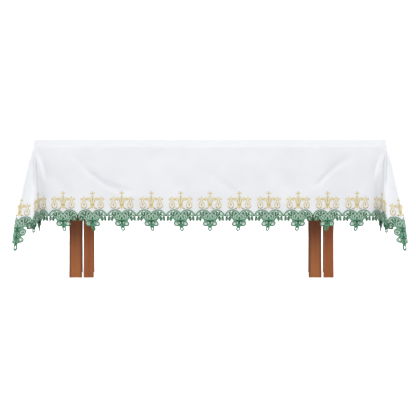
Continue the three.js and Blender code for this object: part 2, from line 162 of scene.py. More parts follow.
@dataclass(frozen=True)
class Crease:
    """One crease of the front, a soft trough or ridge along a bent line.

    path holds points as stations times the pitch and drops, half is its half width, and out
    how far it stands out where it is strongest, at the share peak of its length. The greater
    its fullness, the longer it stays near its strongest.
    """

    path: tuple[Pair, ...]
    half: float
    out: float
    peak: float = 0.5
    fullness: float = 1.4

    def height(self, x: np.ndarray, drop: np.ndarray) -> np.ndarray:
        """Give how far the crease stands out, a bell across its line that fades to its ends.

        Args:
            x: stations times the pitch, 0 in the middle of the front.
            drop: drops below the top of the cloth.

        Returns:
            out times e to the power of minus (distance / half) squared, times the fade.
        """
        away = np.full(x.shape, np.inf)
        share = np.zeros(x.shape)
        legs = list(zip(self.path[:-1], self.path[1:]))
        for i, ((ax, ay), (bx, by)) in enumerate(legs):
            along = (x - ax) * (bx - ax) + (drop - ay) * (by - ay)
            along = np.clip(along / ((bx - ax) ** 2 + (by - ay) ** 2), 0.0, 1.0)
            gap = np.hypot(x - ax - along * (bx - ax), drop - ay - along * (by - ay))
            share = np.where(gap < away, (i + along) / len(legs), share)
            away = np.minimum(away, gap)
        rise = np.minimum(share / self.peak, (1.0 - share) / (1.0 - self.peak))
        return self.out * np.exp(-((away / self.half)**2)) * smooth01(self.fullness * rise)


@dataclass(frozen=True)
class Drape:
    """The run of the cloth over the table, and of the lace below its hem.

    Stations run round the cloth in lace repeats: 0 is the middle of the front, 10 the middle of
    the right end and 20 the middle of the back.
    """

    table_length: float = 2400.0
    table_depth: float = 800.0
    corner_radius: float = 12.0
    top: float = 900.0
    edge_radius: float = 7.0
    overhang: float = 4.0
    arch_top_drop: float = 428.0
    hem_drop: float = 465.0
    hang_out: float = 22.0
    flare: float = 0.36
    fold_in_flare: float = 0.6
    fold_in_blend: float = 10.0
    pitch: float = 200.0
    loop: float = 40.0
    quarter: float = 10.0
    long_end: float = 6.0
    short_end: float = 8.0
    fold_fade: float = 0.25
    fold_margin: float = 0.5
    corner: tuple[tuple[float, ...], ...] = (
        # station, edge, in_x, in_y, extra
        (5.0, 200, 200, -22, 0),
        (5.25, 150, 150, -25, 0),
        (5.5, 100, 102, -16, 0),
        (5.75, 54, 65, 14, 2),
        (6.0, 20, 37, 42, 10),
        (6.25, 9, 13, 8, 23),
        (6.5, 5, -10, -32, 37),
        (6.75, 2.5, -56, -60, 46),
        (7.0, 0, -106, -74, 46),
        (7.25, -2.5, -128, -46, 52),
        (7.5, -5, -92, -10, 44),
        (7.75, -9, -46, 12, 30),
        (8.0, -20, 0, 34, 16),
        (8.25, -54, 12, 74, 6),
        (8.5, -100, -14, 112, 0),
        (8.75, -150, -25, 156, 0),
        (9.0, -200, -22, 200, 0),
    )
    folds: tuple[SoftFold, ...] = (
        SoftFold(at=-3.5, lean=4.2, width=0.45, out=5, start=0.12, stop=0.95),
        SoftFold(at=3.8, lean=-2.9, width=0.45, out=5, start=0.12, stop=0.95),
        SoftFold(at=-1.3, lean=0.4, width=0.8, out=4, start=0.1, stop=2),
        SoftFold(at=1.1, lean=-0.3, width=0.9, out=3, start=0.2, stop=2),
        SoftFold(at=10.3, lean=0.2, width=0.5, out=-4, start=0.1, stop=2),
        SoftFold(at=17.2, lean=0.6, width=0.7, out=5, start=0.1, stop=2),
        SoftFold(at=20.6, lean=-0.4, width=0.9, out=4, start=0.1, stop=2),
        SoftFold(at=23.1, lean=-0.8, width=0.6, out=4, start=0.15, stop=2),
        SoftFold(at=29.6, lean=0.2, width=0.5, out=-4, start=0.1, stop=2),
    )

    closing: ClosingFold = ClosingFold()
    slope_station: float = 0.01
    slope_drop: float = 1.0
    crease_low: float = 470.0
    creases: tuple[Crease, ...] = (
        Crease(((-960, 30), (-836, 153), (-768, 200), (-680, 262), (-592, 298), (-490, 318)),
               half=22, out=-28, peak=0.62),
        Crease(((985, 40), (905, 95), (811, 157), (743, 230), (670, 278)),
               half=25, out=-22, peak=0.66),
        Crease(((-1228, 12), (-1170, 125), (-1112, 310)), half=21, out=13, peak=0.55),
        Crease(((1232, 12), (1172, 110), (1112, 300)), half=21, out=13, peak=0.55),
        Crease(((-1252, 10), (-1256, 160), (-1256, 400)), half=21, out=15, peak=0.5),
        Crease(((1252, 10), (1256, 160), (1256, 400)), half=21, out=15, peak=0.5),
        Crease(((-1190, 60), (-1194, 230), (-1194, 450)), half=37, out=18, peak=0.76),
        Crease(((1186, 60), (1190, 230), (1190, 450)), half=40, out=21, peak=0.78),
        Crease(((-1135, 40), (-1081, 190), (-972, 300), (-880, 380)), half=36, out=-7),
        Crease(((1120, 60), (1060, 200), (960, 330)), half=38, out=-6),
        Crease(((-700, 80), (-640, 130), (-570, 200)), half=24, out=3.5),
        Crease(((-300, 130), (-235, 230), (-180, 330)), half=60, out=-9),
        Crease(((-40, 150), (80, 250), (190, 320)), half=26, out=-4.5),
        Crease(((30, 150), (130, 240), (215, 300)), half=24, out=5),
        Crease(((420, 120), (500, 230), (540, 330)), half=45, out=-5.5),
        Crease(((-470, 60), (-400, 190), (-420, 320)), half=40, out=5),
        Crease(((240, 60), (330, 160), (360, 280)), half=45, out=4.5),
    )

    def quarter_of(self, station: np.ndarray) -> tuple[np.ndarray, np.ndarray, np.ndarray]:
        """Fold stations into one quarter of the loop.

        Args:
            station: stations round the cloth.

        Returns:
            The quarter's stations, and the sides along X and Y as +1 or -1.
        """
        s = np.mod(station, self.loop)
        number = np.floor(s / self.quarter).astype(int)
        within = s - number * self.quarter
        q = np.where(number % 2 == 1, self.quarter - within, within)
        side_x = np.where(number < 2, 1.0, -1.0)
        side_y = np.where((number == 0) | (number == 3), -1.0, 1.0)
        return q, side_x, side_y

    def _column(self, q: np.ndarray, column: CornerColumn) -> np.ndarray:
        """Read a column of the corner table smoothly, as a Hermite cubic through every row.

        Args:
            q: stations within a quarter.
            column: the column that is read.

        Returns:
            The column's value at each station.
        """
        rows = np.array(self.corner)
        x, y = rows[:, 0], rows[:, column.value]
        slope = np.empty_like(y)
        slope[1:-1] = (y[2:] - y[:-2]) / (x[2:] - x[:-2])
        slope[0] = (y[1] - y[0]) / (x[1] - x[0])
        slope[-1] = (y[-1] - y[-2]) / (x[-1] - x[-2])
        i = np.clip(np.searchsorted(x[1:], q, side="left"), 0, len(x) - 2)
        span = x[i + 1] - x[i]
        t = np.clip((q - x[i]) / span, 0.0, 1.0)
        t2, t3 = t * t, t * t * t
        return (
            y[i] * (2 * t3 - 3 * t2 + 1)
            + slope[i] * span * (t3 - 2 * t2 + t)
            + y[i + 1] * (3 * t2 - 2 * t3)
            + slope[i + 1] * span * (t3 - t2)
        )

    def hang(self, q: np.ndarray) -> tuple[np.ndarray, np.ndarray, np.ndarray, np.ndarray]:
        """Say where the cloth leaves the table edge and where it hangs at the hem.

        Args:
            q: stations within a quarter.

        Returns:
            The place along the edge, the two distances in at the hem, and the extra drop.
        """
        long_side, short_side = q <= self.corner[0][0], q >= self.corner[-1][0]
        along_long = (self.long_end - q) * self.pitch
        along_short = (q - self.short_end) * self.pitch
        edge = self._column(q, CornerColumn.EDGE)
        in_x = self._column(q, CornerColumn.IN_X)
        in_y = self._column(q, CornerColumn.IN_Y)
        extra = self._column(q, CornerColumn.EXTRA)
        edge = np.where(long_side, along_long, np.where(short_side, -along_short, edge))
        in_x = np.where(long_side, along_long, np.where(short_side, -self.hang_out, in_x))
        in_y = np.where(long_side, -self.hang_out, np.where(short_side, along_short, in_y))
        extra = np.where(long_side | short_side, 0.0, extra)
        return edge, in_x, in_y, extra

    def outline(self, edge: np.ndarray, out: float) -> tuple[np.ndarray, np.ndarray]:
        """Find points of the rounded table outline grown by out.

        Args:
            edge: places along the edge, + along the long side from the corner.
            out: how far the outline is grown.

        Returns:
            The distances in from the short and from the long edge.
        """
        r = self.corner_radius
        angle = (1.0 - np.clip(edge, -r, r) / r) * math.pi / 4.0
        arc_x, arc_y = r - (r + out) * np.sin(angle), r - (r + out) * np.cos(angle)
        in_x = np.where(edge >= r, edge, np.where(edge <= -r, -out, arc_x))
        in_y = np.where(edge >= r, -out, np.where(edge <= -r, -edge, arc_y))
        return in_x, in_y

    def soft_fold(self, station: np.ndarray, t: np.ndarray) -> np.ndarray:
        """Add up how far the soft folds stand out, each a bell across and eased over the drop.

        Args:
            station: stations round the cloth.
            t: shares of the drop.

        Returns:
            The distance out in millimetres.
        """
        out = np.zeros(np.broadcast(station, t).shape)
        for fold in self.folds:
            away = station - fold.at - fold.lean * (t - 0.5)
            away = (away - self.loop * np.round(away / self.loop)) / fold.width
            fade = smooth01((t - fold.start) / self.fold_fade)
            fade = fade * smooth01((fold.stop - t) / self.fold_fade)
            out += fold.out * np.exp(-away * away) * fade
        return out

    def crease(self, station: np.ndarray, drop: np.ndarray) -> np.ndarray:
        """Add up how far the creases stand out, above the hem alone.

        Args:
            station: stations round the cloth.
            drop: drops below the top of the cloth.

        Returns:
            The distance out in millimetres.
        """
        station, drop = np.broadcast_arrays(station, drop)
        x = (station - self.loop * np.round(station / self.loop)) * self.pitch
        near = np.abs(x) < (self.long_end + self.fold_margin) * self.pitch
        near &= drop < self.crease_low
        out = np.zeros(x.shape)
        for one in self.creases:
            out[near] += one.height(x[near], drop[near])
        return out

    def arch_top(self, station: np.ndarray) -> np.ndarray:
        """Give the drop of the tops of the lace arches at the stations."""
        return self.arch_top_drop + self.hang(self.quarter_of(station)[0])[3]

    def point(self, station: np.ndarray, drop: np.ndarray) -> np.ndarray:
        """Find points of the outer face of the hanging cloth.

        From the edge to the hem it swings out along t (1 + c (1 - t)), or in along
        t squared (1 + c (1 - t)), with t the share of the drop, and the soft folds are added.

        Args:
            station: stations round the cloth.
            drop: drops below the top of the cloth.

        Returns:
            An array of points, one row each.
        """
        q, side_x, side_y = self.quarter_of(station)
        edge, hem_x, hem_y, extra = self.hang(q)
        start_x, start_y = self.outline(edge, self.overhang)
        beyond_x, beyond_y = self.outline(edge, self.overhang + 1.0)
        t = (drop - self.edge_radius) / (self.hem_drop + extra - self.edge_radius)
        blend = self.fold_in_blend
        inward = smooth01((np.minimum(hem_x, hem_y) + blend) / (2.0 * blend))
        swing_out = t * (1.0 + self.flare * (1.0 - t))
        swing_in = t * t * (1.0 + self.fold_in_flare * (1.0 - t))
        swing = swing_out + (swing_in - swing_out) * inward
        reach = np.maximum(
            smooth01(self.corner[0][0] + self.fold_margin - q),
            smooth01(q - self.short_end - self.fold_margin),
        )
        fold = self.soft_fold(station, t) * reach + self.crease(station, drop)
        in_x = start_x + (hem_x - start_x) * swing + (beyond_x - start_x) * fold
        in_y = start_y + (hem_y - start_y) * swing + (beyond_y - start_y) * fold
        closed = self.closing.share(q, t)
        in_x = in_x + (self.closing.in_x - in_x) * self.closing.narrower * closed
        in_y = in_y + (in_y - self.closing.in_y) * self.closing.deeper * closed
        x = side_x * (self.table_length / 2.0 - in_x)
        y = side_y * (self.table_depth / 2.0 - in_y)
        return np.stack([x, y, self.top - drop], axis=-1)

    def placed(self, station: np.ndarray, drop: np.ndarray, out: np.ndarray) -> np.ndarray:
        """Place points at a height out from the outer face, along its normal.

        Args:
            station: stations round the cloth.
            drop: drops below the top of the cloth.
            out: heights over the outer face.

        Returns:
            An array of points in metres.
        """
        ds, dd = self.slope_station, self.slope_drop
        along = self.point(station + ds, drop) - self.point(station - ds, drop)
        down = self.point(station, drop + dd) - self.point(station, drop - dd)
        normal = np.cross(down, along)
        normal /= np.linalg.norm(normal, axis=-1, keepdims=True)
        return (self.point(station, drop) + normal * np.asarray(out)[..., None]) * MM

    def bend(self, station: np.ndarray, degrees: float) -> np.ndarray:
        """Find points of the bend over the table edge, a quarter circle of edge_radius.

        Args:
            station: stations round the cloth.
            degrees: how far round the bend, 0 on top and 90 at the side.

        Returns:
            An array of points in metres.
        """
        q, side_x, side_y = self.quarter_of(station)
        angle = math.radians(degrees)
        out = self.overhang - self.edge_radius + self.edge_radius * math.sin(angle)
        in_x, in_y = self.outline(self.hang(q)[0], out)
        z = self.top - self.edge_radius + self.edge_radius * math.cos(angle)
        x = side_x * (self.table_length / 2.0 - in_x)
        y = side_y * (self.table_depth / 2.0 - in_y)
        return np.stack([x, y, np.full_like(x, z)], axis=-1) * MM


@dataclass(frozen=True)
class Scallop:
    """The two arches of one lace repeat: circles of one radius, either side of the cusp."""

    radius: float = 51.0
    centre: float = 45.0
    half_width: float = 49.0

    def drop(self, x: np.ndarray) -> np.ndarray:
        """Give the hem's drop below the arch tops.

        Args:
            x: distances from the middle of a repeat.

        Returns:
            radius - sqrt(radius squared - distance from the arch centre squared), held level
            across the bridge between two repeats.
        """
        away = np.minimum(np.abs(np.abs(x) - self.centre), self.half_width)
        return self.radius - np.sqrt(self.radius**2 - away**2)


class Profile(Enum):
    """How the width of a stroke runs over its length."""

    EVEN = "even"
    LEAF = "leaf"


@dataclass(frozen=True)
class Stroke:
    """One stitched cord or leaf, as a middle line in the flat with a width and a height.

    x runs along the hem from the middle of a repeat, y down from the arch tops. tone runs
    from 0, the darkest thread, to 1, the palest.
    """

    path: np.ndarray
    width: float
    height: float
    tone: float
    profile: Profile = Profile.EVEN
    closed: bool = False

    def mirrored(self) -> "Stroke":
        """Give the stroke's mirror image about the middle of the repeat."""
        flipped = self.path * np.array([-1.0, 1.0])
        return Stroke(flipped, self.width, self.height, self.tone, self.profile, self.closed)


def spline(points: Sequence[Pair], step: float) -> np.ndarray:
    """Run a smooth Catmull-Rom curve through points.

    Between b and c, with a before and d after them, it is half of 2 b + (c - a) t
    + (2 a - 5 b + 4 c - d) t squared + (3 b - a - 3 c + d) t cubed.

    Args:
        points: the points as x and y.
        step: about how far apart the curve's own points are.

    Returns:
        The curve's points, with its two ends.
    """
    p = np.array(points, dtype=float)
    p = np.vstack([2 * p[0] - p[1], p, 2 * p[-1] - p[-2]])
    out = []
    for a, b, c, d in zip(p[:-3], p[1:-2], p[2:-1], p[3:]):
        count = max(1, int(round(np.linalg.norm(c - b) / step)))
        t = (np.arange(count) / count)[:, None]
        out.append(0.5 * (2 * b + (c - a) * t + (2 * a - 5 * b + 4 * c - d) * t**2
                          + (3 * b - a - 3 * c + d) * t**3))
    out.append(p[-2][None, :])
    return np.vstack(out)


def arc(centre: Pair, radii: Pair, start: float, stop: float,
        step: float, turn: float = 0.0) -> np.ndarray:
    """Run along an ellipse, degrees 0 at its top and rising towards +x.

    Args:
        centre: its middle.
        radii: its half width and half height.
        start: first angle in degrees.
        stop: last angle in degrees.
        step: about how far apart the points are.
        turn: how far the ellipse itself is turned, in degrees.

    Returns:
        The points; a full turn leaves out the last, which is the first again.
    """
    length = math.radians(abs(stop - start)) * max(radii)
    count = max(4, int(round(length / step)))
    whole = abs(abs(stop - start) - 360.0) < 1e-6
    angle = np.radians(np.linspace(start, stop, count + (0 if whole else 1), endpoint=not whole))
    flat = np.stack([radii[0] * np.sin(angle), -radii[1] * np.cos(angle)], axis=-1)
    t = math.radians(turn)
    spin = np.array([[math.cos(t), math.sin(t)], [-math.sin(t), math.cos(t)]])
    return flat @ spin + np.array(centre)


def inside(points: np.ndarray, outline: np.ndarray) -> np.ndarray:
    """Say which points lie inside an outline, by counting the edges to one side of each.

    Args:
        points: points as rows of x and y.
        outline: the outline's points in order.

    Returns:
        A true or false for each point.
    """
    a, b = outline, np.roll(outline, -1, axis=0)
    x, y = points[:, 0], points[:, 1]
    ax, ay, bx, by = (v[:, None] for v in (a[:, 0], a[:, 1], b[:, 0], b[:, 1]))
    spans = (ay > y) != (by > y)
    rise = np.where(by == ay, 1.0, by - ay)
    cross = (bx - ax) * (y - ay) / rise + ax
    return (spans & (x < cross)).sum(axis=0) % 2 == 1


@dataclass(frozen=True)
class Plate:
    """A thin stitched ground in the flat: its points, its triangles and its rim edges."""

    points: np.ndarray
    triangles: np.ndarray
    rim: np.ndarray
    thickness: float
    tone: float

    CLEAR: ClassVar[float] = 0.45
    CLOSE: ClassVar[float] = 1e-4

    @staticmethod
    def cut(outline: np.ndarray, gaps: Sequence[np.ndarray], spacing: float,
            thickness: float, tone: float) -> "Plate":
        """Fill an outline less its gaps with triangles over a staggered grid of points.

        Args:
            outline: the outline's points in order.
            gaps: the outlines of the gaps.
            spacing: distance between the grid's points.
            thickness: how thick the ground is.
            tone: its thread tone.

        Returns:
            The plate.
        """
        low, high = outline.min(axis=0), outline.max(axis=0)
        gx, gy = np.meshgrid(np.arange(low[0], high[0], spacing),
                             np.arange(low[1], high[1], spacing))
        gx = gx + (np.arange(gx.shape[0]) % 2)[:, None] * spacing / 2.0
        grid = np.stack([gx.ravel(), gy.ravel()], axis=-1)
        edge = np.vstack([outline, *gaps])
        far = np.linalg.norm(grid[:, None, :] - edge[None, :, :], axis=2).min(axis=1)
        keep = (far > spacing * Plate.CLEAR) & inside(grid, outline)
        for gap in gaps:
            keep &= ~inside(grid, gap)
        flat = np.vstack([edge, grid[keep]])
        edges, first = [], 0
        for loop in (outline, *gaps):
            ring = np.arange(len(loop))
            edges += np.stack([first + ring, first + (ring + 1) % len(loop)], -1).tolist()
            first += len(loop)
        result = delaunay_2d_cdt([Vector(row) for row in flat.tolist()], edges, [], 0, Plate.CLOSE)
        points = np.array([tuple(v) for v in result[0]])
        triangles = np.array([face for face in result[2] if len(face) == 3])
        middle = points[triangles].mean(axis=1)
        solid = inside(middle, outline)
        for gap in gaps:
            solid &= ~inside(middle, gap)
        triangles = triangles[solid]
        a, b, c = (points[triangles[:, k]] for k in range(3))
        ab, ac = b - a, c - a
        turn = ab[:, 0] * ac[:, 1] - ab[:, 1] * ac[:, 0]
        triangles = np.where((turn > 0)[:, None], triangles[:, ::-1], triangles)
        sides = np.vstack([triangles[:, [0, 1]], triangles[:, [1, 2]], triangles[:, [2, 0]]])
        key = np.sort(sides, axis=1)
        _, where, count = np.unique(key, axis=0, return_inverse=True, return_counts=True)
        rim = sides[count[where.ravel()] == 1]
        return Plate(points, triangles, rim, thickness, tone)


@dataclass(frozen=True)
class Lean:
    """How far the pendants lean along x towards the middle of the front."""

    most: float = 0.0
    start: float = 82.0
    over: float = 64.0

    def shift(self, y: np.ndarray) -> np.ndarray:
        """Give the move along x, which grows evenly from start on."""
        return self.most * (np.maximum(0.0, y - self.start) / self.over)


@dataclass
class StrokeMesh:
    """Collects strokes as small closed tubes of an oval section, in the flat."""

    sides: int = 6
    leaf_end: float = 0.12
    leaf_skew: float = 0.8
    leaf_blunt: float = 0.75
    low_end: float = 0.4
    points: list[np.ndarray] = field(default_factory=list)
    tones: list[np.ndarray] = field(default_factory=list)
    uvs: list[np.ndarray] = field(default_factory=list)
    faces: list[list[int]] = field(default_factory=list)
    count: int = 0

    def add(self, stroke: Stroke, shift: float = 0.0) -> None:
        """Add one stroke.

        Each section is (width / 2) cos a across and height sin a up, with the width scaled by
        the profile.

        Args:
            stroke: the stroke.
            shift: a move along x, for a repeat further along.
        """
        path = stroke.path
        n = len(path)
        if stroke.closed:
            ahead = np.roll(path, -1, axis=0) - np.roll(path, 1, axis=0)
        else:
            ahead = np.gradient(path, axis=0)
        ahead /= np.maximum(np.linalg.norm(ahead, axis=1, keepdims=True), 1e-9)
        across = np.stack([-ahead[:, 1], ahead[:, 0]], axis=-1)
        share = np.linspace(0.0, 1.0, n)
        scale = np.ones(n)
        if stroke.profile is Profile.LEAF:
            belly = np.sin(np.pi * share**self.leaf_skew) ** self.leaf_blunt
            scale = self.leaf_end + (1.0 - self.leaf_end) * belly
        angle = 2.0 * np.pi * (np.arange(self.sides) + 0.5) / self.sides
        half = 0.5 * stroke.width * scale
        flat = path[:, None, :] + (half[:, None] * np.cos(angle))[:, :, None] * across[:, None, :]
        tall = stroke.height * (self.low_end + (1.0 - self.low_end) * scale)
        up = tall[:, None] * np.sin(angle)
        flat[:, :, 0] += shift
        block = np.concatenate([flat, up[:, :, None]], axis=2).reshape(-1, 3)
        self.points.append(block)
        self.tones.append(np.full(len(block), stroke.tone))
        legs = np.linalg.norm(np.diff(path, axis=0), axis=1)
        u = np.repeat(np.concatenate([[0.0], np.cumsum(legs)]), self.sides)
        v = (half[:, None] * np.cos(angle)).reshape(-1)
        self.uvs.append(np.stack([u, v], axis=-1) * MM)
        ring = np.arange(self.sides)
        rows = n if stroke.closed else n - 1
        i = np.arange(rows)[:, None]
        j = (i + 1) % n
        a, b = i * self.sides + ring, i * self.sides + (ring + 1) % self.sides
        c, d = j * self.sides + (ring + 1) % self.sides, j * self.sides + ring
        quads = np.stack([a, b, c, d], axis=-1).reshape(-1, 4) + self.count
        self.faces.extend(quads.tolist())
        if not stroke.closed:
            self.faces.append((self.count + ring[::-1]).tolist())
            self.faces.append((self.count + (n - 1) * self.sides + ring).tolist())
        self.count += len(block)

    def add_plate(self, plate: Plate, shift: float = 0.0) -> None:
        """Add a stitched ground with its two faces and its rim.

        Args:
            plate: the ground.
            shift: a move along x, for a repeat further along.
        """
        n = len(plate.points)
        flat = plate.points + np.array([shift, 0.0])
        half = np.full((n, 1), plate.thickness / 2.0)
        self.points.append(np.vstack([np.hstack([flat, half]), np.hstack([flat, -half])]))
        self.tones.append(np.full(2 * n, plate.tone))
        self.uvs.append(np.vstack([flat, flat]) * MM)
        front = plate.triangles + self.count
        back = plate.triangles[:, ::-1] + self.count + n
        a, b = plate.rim[:, 0] + self.count, plate.rim[:, 1] + self.count
        wall = np.stack([b, a, a + n, b + n], axis=-1)
        self.faces.extend(front.tolist())
        self.faces.extend(back.tolist())
        self.faces.extend(wall.tolist())
        self.count += 2 * n

    def build(self, name: str, drape: Drape, base: float, lift: float,
              lean: Lean) -> bpy.types.Object:
        """Lay the strokes on the run of the cloth and make them one object.

        Args:
            name: the object's name.
            drape: the run of the cloth.
            base: the station that x is measured from.
            lift: height of the strokes' middle over the outer face of the cloth.
            lean: how the lowest points lean along x.

        Returns:
            The new object.
        """
        p = np.vstack(self.points)
        repeat = np.round(p[:, 0] / drape.pitch)
        x = p[:, 0] - np.sign(repeat) * lean.shift(p[:, 1])
        station = base + x / drape.pitch
        drop = drape.arch_top(station) + p[:, 1]
        placed = drape.placed(station, drop, p[:, 2] + lift)
        mesh = bpy.data.meshes.new(name)
        mesh.from_pydata(placed.tolist(), [], self.faces)
        tone = mesh.attributes.new("tone", "FLOAT", "POINT")
        tone.data.foreach_set("value", np.concatenate(self.tones).astype(np.float32))
        corner = np.empty(len(mesh.loops), dtype=np.int32)
        mesh.loops.foreach_get("vertex_index", corner)
        uv = mesh.uv_layers.new(name="UVMap")
        uv.data.foreach_set("uv", np.vstack(self.uvs)[corner].astype(np.float32).ravel())
        mesh.polygons.foreach_set("use_smooth", np.ones(len(mesh.polygons), dtype=bool))
        mesh.validate()
        mesh.update()
        return add_object(name, mesh)


@dataclass(frozen=True)
class ShaderTree:
    """Puts nodes into one shader tree, each in one call with its settings and inputs."""

    tree: bpy.types.NodeTree

    def feed(self, node: bpy.types.Node, inputs: Mapping[str | int, object]) -> None:
        """Link or set inputs of a node.

        Args:
            node: the node.
            inputs: for an input, by name or place, the socket that feeds it or its value.
        """
        for key, value in inputs.items():
            if isinstance(value, bpy.types.NodeSocket):
                self.tree.links.new(value, node.inputs[key])
            else:
                node.inputs[key].default_value = value

    def add(self, kind: str, inputs: Mapping[str | int, object] | None = None,
            **settings: object) -> bpy.types.Node:
        """Add a node, set first and then fed.

        Args:
            kind: the node's type.
            inputs: what feeds or sets its inputs.
            settings: the node's own settings by name.

        Returns:
            The new node.
        """
        node = self.tree.nodes.new(kind)
        for name, value in settings.items():
            setattr(node, name, value)
        self.feed(node, inputs or {})
        return node

    def surface(self, colour: bpy.types.NodeSocket, height: bpy.types.NodeSocket, bump: float,
                depth: float, values: Mapping[str, float]) -> None:
        """Feed the Principled BSDF a colour and a bump's normal, and set its own values.

        Args:
            colour: the socket with the base colour.
            height: the socket with the bump's height.
            bump: the bump's strength.
            depth: the bump's distance in metres.
            values: the shader's own values by input.
        """
        relief = self.add("ShaderNodeBump", {
            "Height": height, "Strength": bump, "Distance": depth})
        self.feed(self.tree.nodes["Principled BSDF"], {
            "Base Color": colour, "Normal": relief.outputs["Normal"], **values})


class NodeGroups:
    """Shader effects on a UV in metres, each a group that is built once."""

    SLANT: ClassVar[float] = math.radians(28.0)
    STITCH_SCALE: ClassVar[float] = 260.0
    STITCH_WANDER: ClassVar[float] = 0.6
    SHADE_SCALE: ClassVar[float] = 180.0
    YARN_SCALE: ClassVar[float] = 330.0
    YARN_WANDER: ClassVar[float] = 0.4
    SLUB_STRETCH: ClassVar[Place] = (30.0, 260.0, 1.0)
    SLUB_DETAIL: ClassVar[float] = 3.0

    @staticmethod
    def _start(name: str, outputs: Sequence[str]
               ) -> tuple[ShaderTree, bpy.types.Node, bpy.types.Node]:
        """Start a group with Vector in.

        Args:
            name: the group's name.
            outputs: the names of the numbers that it puts out.

        Returns:
            Its tree, its input node and its output node.
        """
        group = bpy.data.node_groups.new(name, "ShaderNodeTree")
        group.interface.new_socket("Vector", in_out="INPUT", socket_type="NodeSocketVector")
        for output in outputs:
            group.interface.new_socket(output, in_out="OUTPUT", socket_type="NodeSocketFloat")
        tree = ShaderTree(group)
        return tree, tree.add("NodeGroupInput"), tree.add("NodeGroupOutput")

    @classmethod
    def thread(cls) -> bpy.types.ShaderNodeTree:
        """Slanted satin stitches along a stroke, as the bands of a turned wave.

        Returns:
            A group with Vector in and Height and Shade out.
        """
        if "satin_thread" in bpy.data.node_groups:
            return bpy.data.node_groups["satin_thread"]
        tree, gin, gout = cls._start("satin_thread", ("Height", "Shade"))
        turn = tree.add("ShaderNodeMapping", {
            "Vector": gin.outputs["Vector"], "Rotation": (0.0, 0.0, cls.SLANT)})
        wave = tree.add("ShaderNodeTexWave", {
            "Vector": turn.outputs["Vector"], "Scale": cls.STITCH_SCALE,
            "Distortion": cls.STITCH_WANDER})
        noise = tree.add("ShaderNodeTexNoise", {
            "Vector": gin.outputs["Vector"], "Scale": cls.SHADE_SCALE})
        tree.feed(gout, {"Height": wave.outputs["Fac"], "Shade": noise.outputs["Fac"]})
        return tree.tree

    @classmethod
    def weave(cls) -> bpy.types.ShaderNodeTree:
        """A plain weave, as the higher of two waves at right angles, with long slubs.

        Returns:
            A group with Vector in and Height and Slub out.
        """
        if "plain_weave" in bpy.data.node_groups:
            return bpy.data.node_groups["plain_weave"]
        tree, gin, gout = cls._start("plain_weave", ("Height", "Slub"))
        warp, weft = (
            tree.add("ShaderNodeTexWave", {
                "Vector": gin.outputs["Vector"], "Scale": cls.YARN_SCALE,
                "Distortion": cls.YARN_WANDER}, bands_direction=axis)
            for axis in ("X", "Y")
        )
        lift = tree.add("ShaderNodeMath", {0: warp.outputs["Fac"], 1: weft.outputs["Fac"]},
                        operation="MAXIMUM")
        stretch = tree.add("ShaderNodeMapping", {
            "Vector": gin.outputs["Vector"], "Scale": cls.SLUB_STRETCH})
        slub = tree.add("ShaderNodeTexNoise", {
            "Vector": stretch.outputs["Vector"], "Scale": 1.0, "Detail": cls.SLUB_DETAIL})
        tree.feed(gout, {"Height": lift.outputs["Value"], "Slub": slub.outputs["Fac"]})
        return tree.tree


@dataclass(frozen=True)
class LinenFinish:
    """White linen with a faint cool cast and slub."""

    colour: Colour = linear(247, 249, 252)
    shade: Colour = linear(243, 245, 249)
    cloud_scale: float = 5.0
    cloud_detail: float = 4.0
    slub_share: float = 0.16
    pale_from: float = 0.44
    pale_to: float = 0.70
    roughness: float = 0.82
    specular: float = 0.25
    sheen: float = 0.15
    bump: float = 0.12
    depth: float = 0.0004

    def material(self) -> bpy.types.Material:
        """Make the material from the weave group on the cloth's UV and soft clouds.

        Returns:
            The material.
        """
        mat = bpy.data.materials.new("linen")
        mat.use_nodes = True
        tree = ShaderTree(mat.node_tree)
        uv = tree.add("ShaderNodeUVMap", uv_map="UVMap")
        weave = tree.add("ShaderNodeGroup", node_tree=NodeGroups.weave())
        tree.feed(weave, {"Vector": uv.outputs["UV"]})
        where = tree.add("ShaderNodeTexCoord")
        cloud = tree.add("ShaderNodeTexNoise", {
            "Vector": where.outputs["Object"], "Scale": self.cloud_scale,
            "Detail": self.cloud_detail})
        both = tree.add("ShaderNodeMath", {
            0: weave.outputs["Slub"], 1: self.slub_share, 2: cloud.outputs["Fac"]},
            operation="MULTIPLY_ADD")
        ramp = tree.add("ShaderNodeMapRange", {
            "Value": both.outputs["Value"], "From Min": self.pale_from,
            "From Max": self.pale_to})
        mix = tree.add("ShaderNodeMix", {
            "Factor": ramp.outputs["Result"], "A": self.shade, "B": self.colour},
            data_type="RGBA")
        tree.surface(mix.outputs["Result"], weave.outputs["Height"], self.bump, self.depth, {
            "Roughness": self.roughness, "Specular IOR Level": self.specular,
            "Sheen Weight": self.sheen})
        return mat


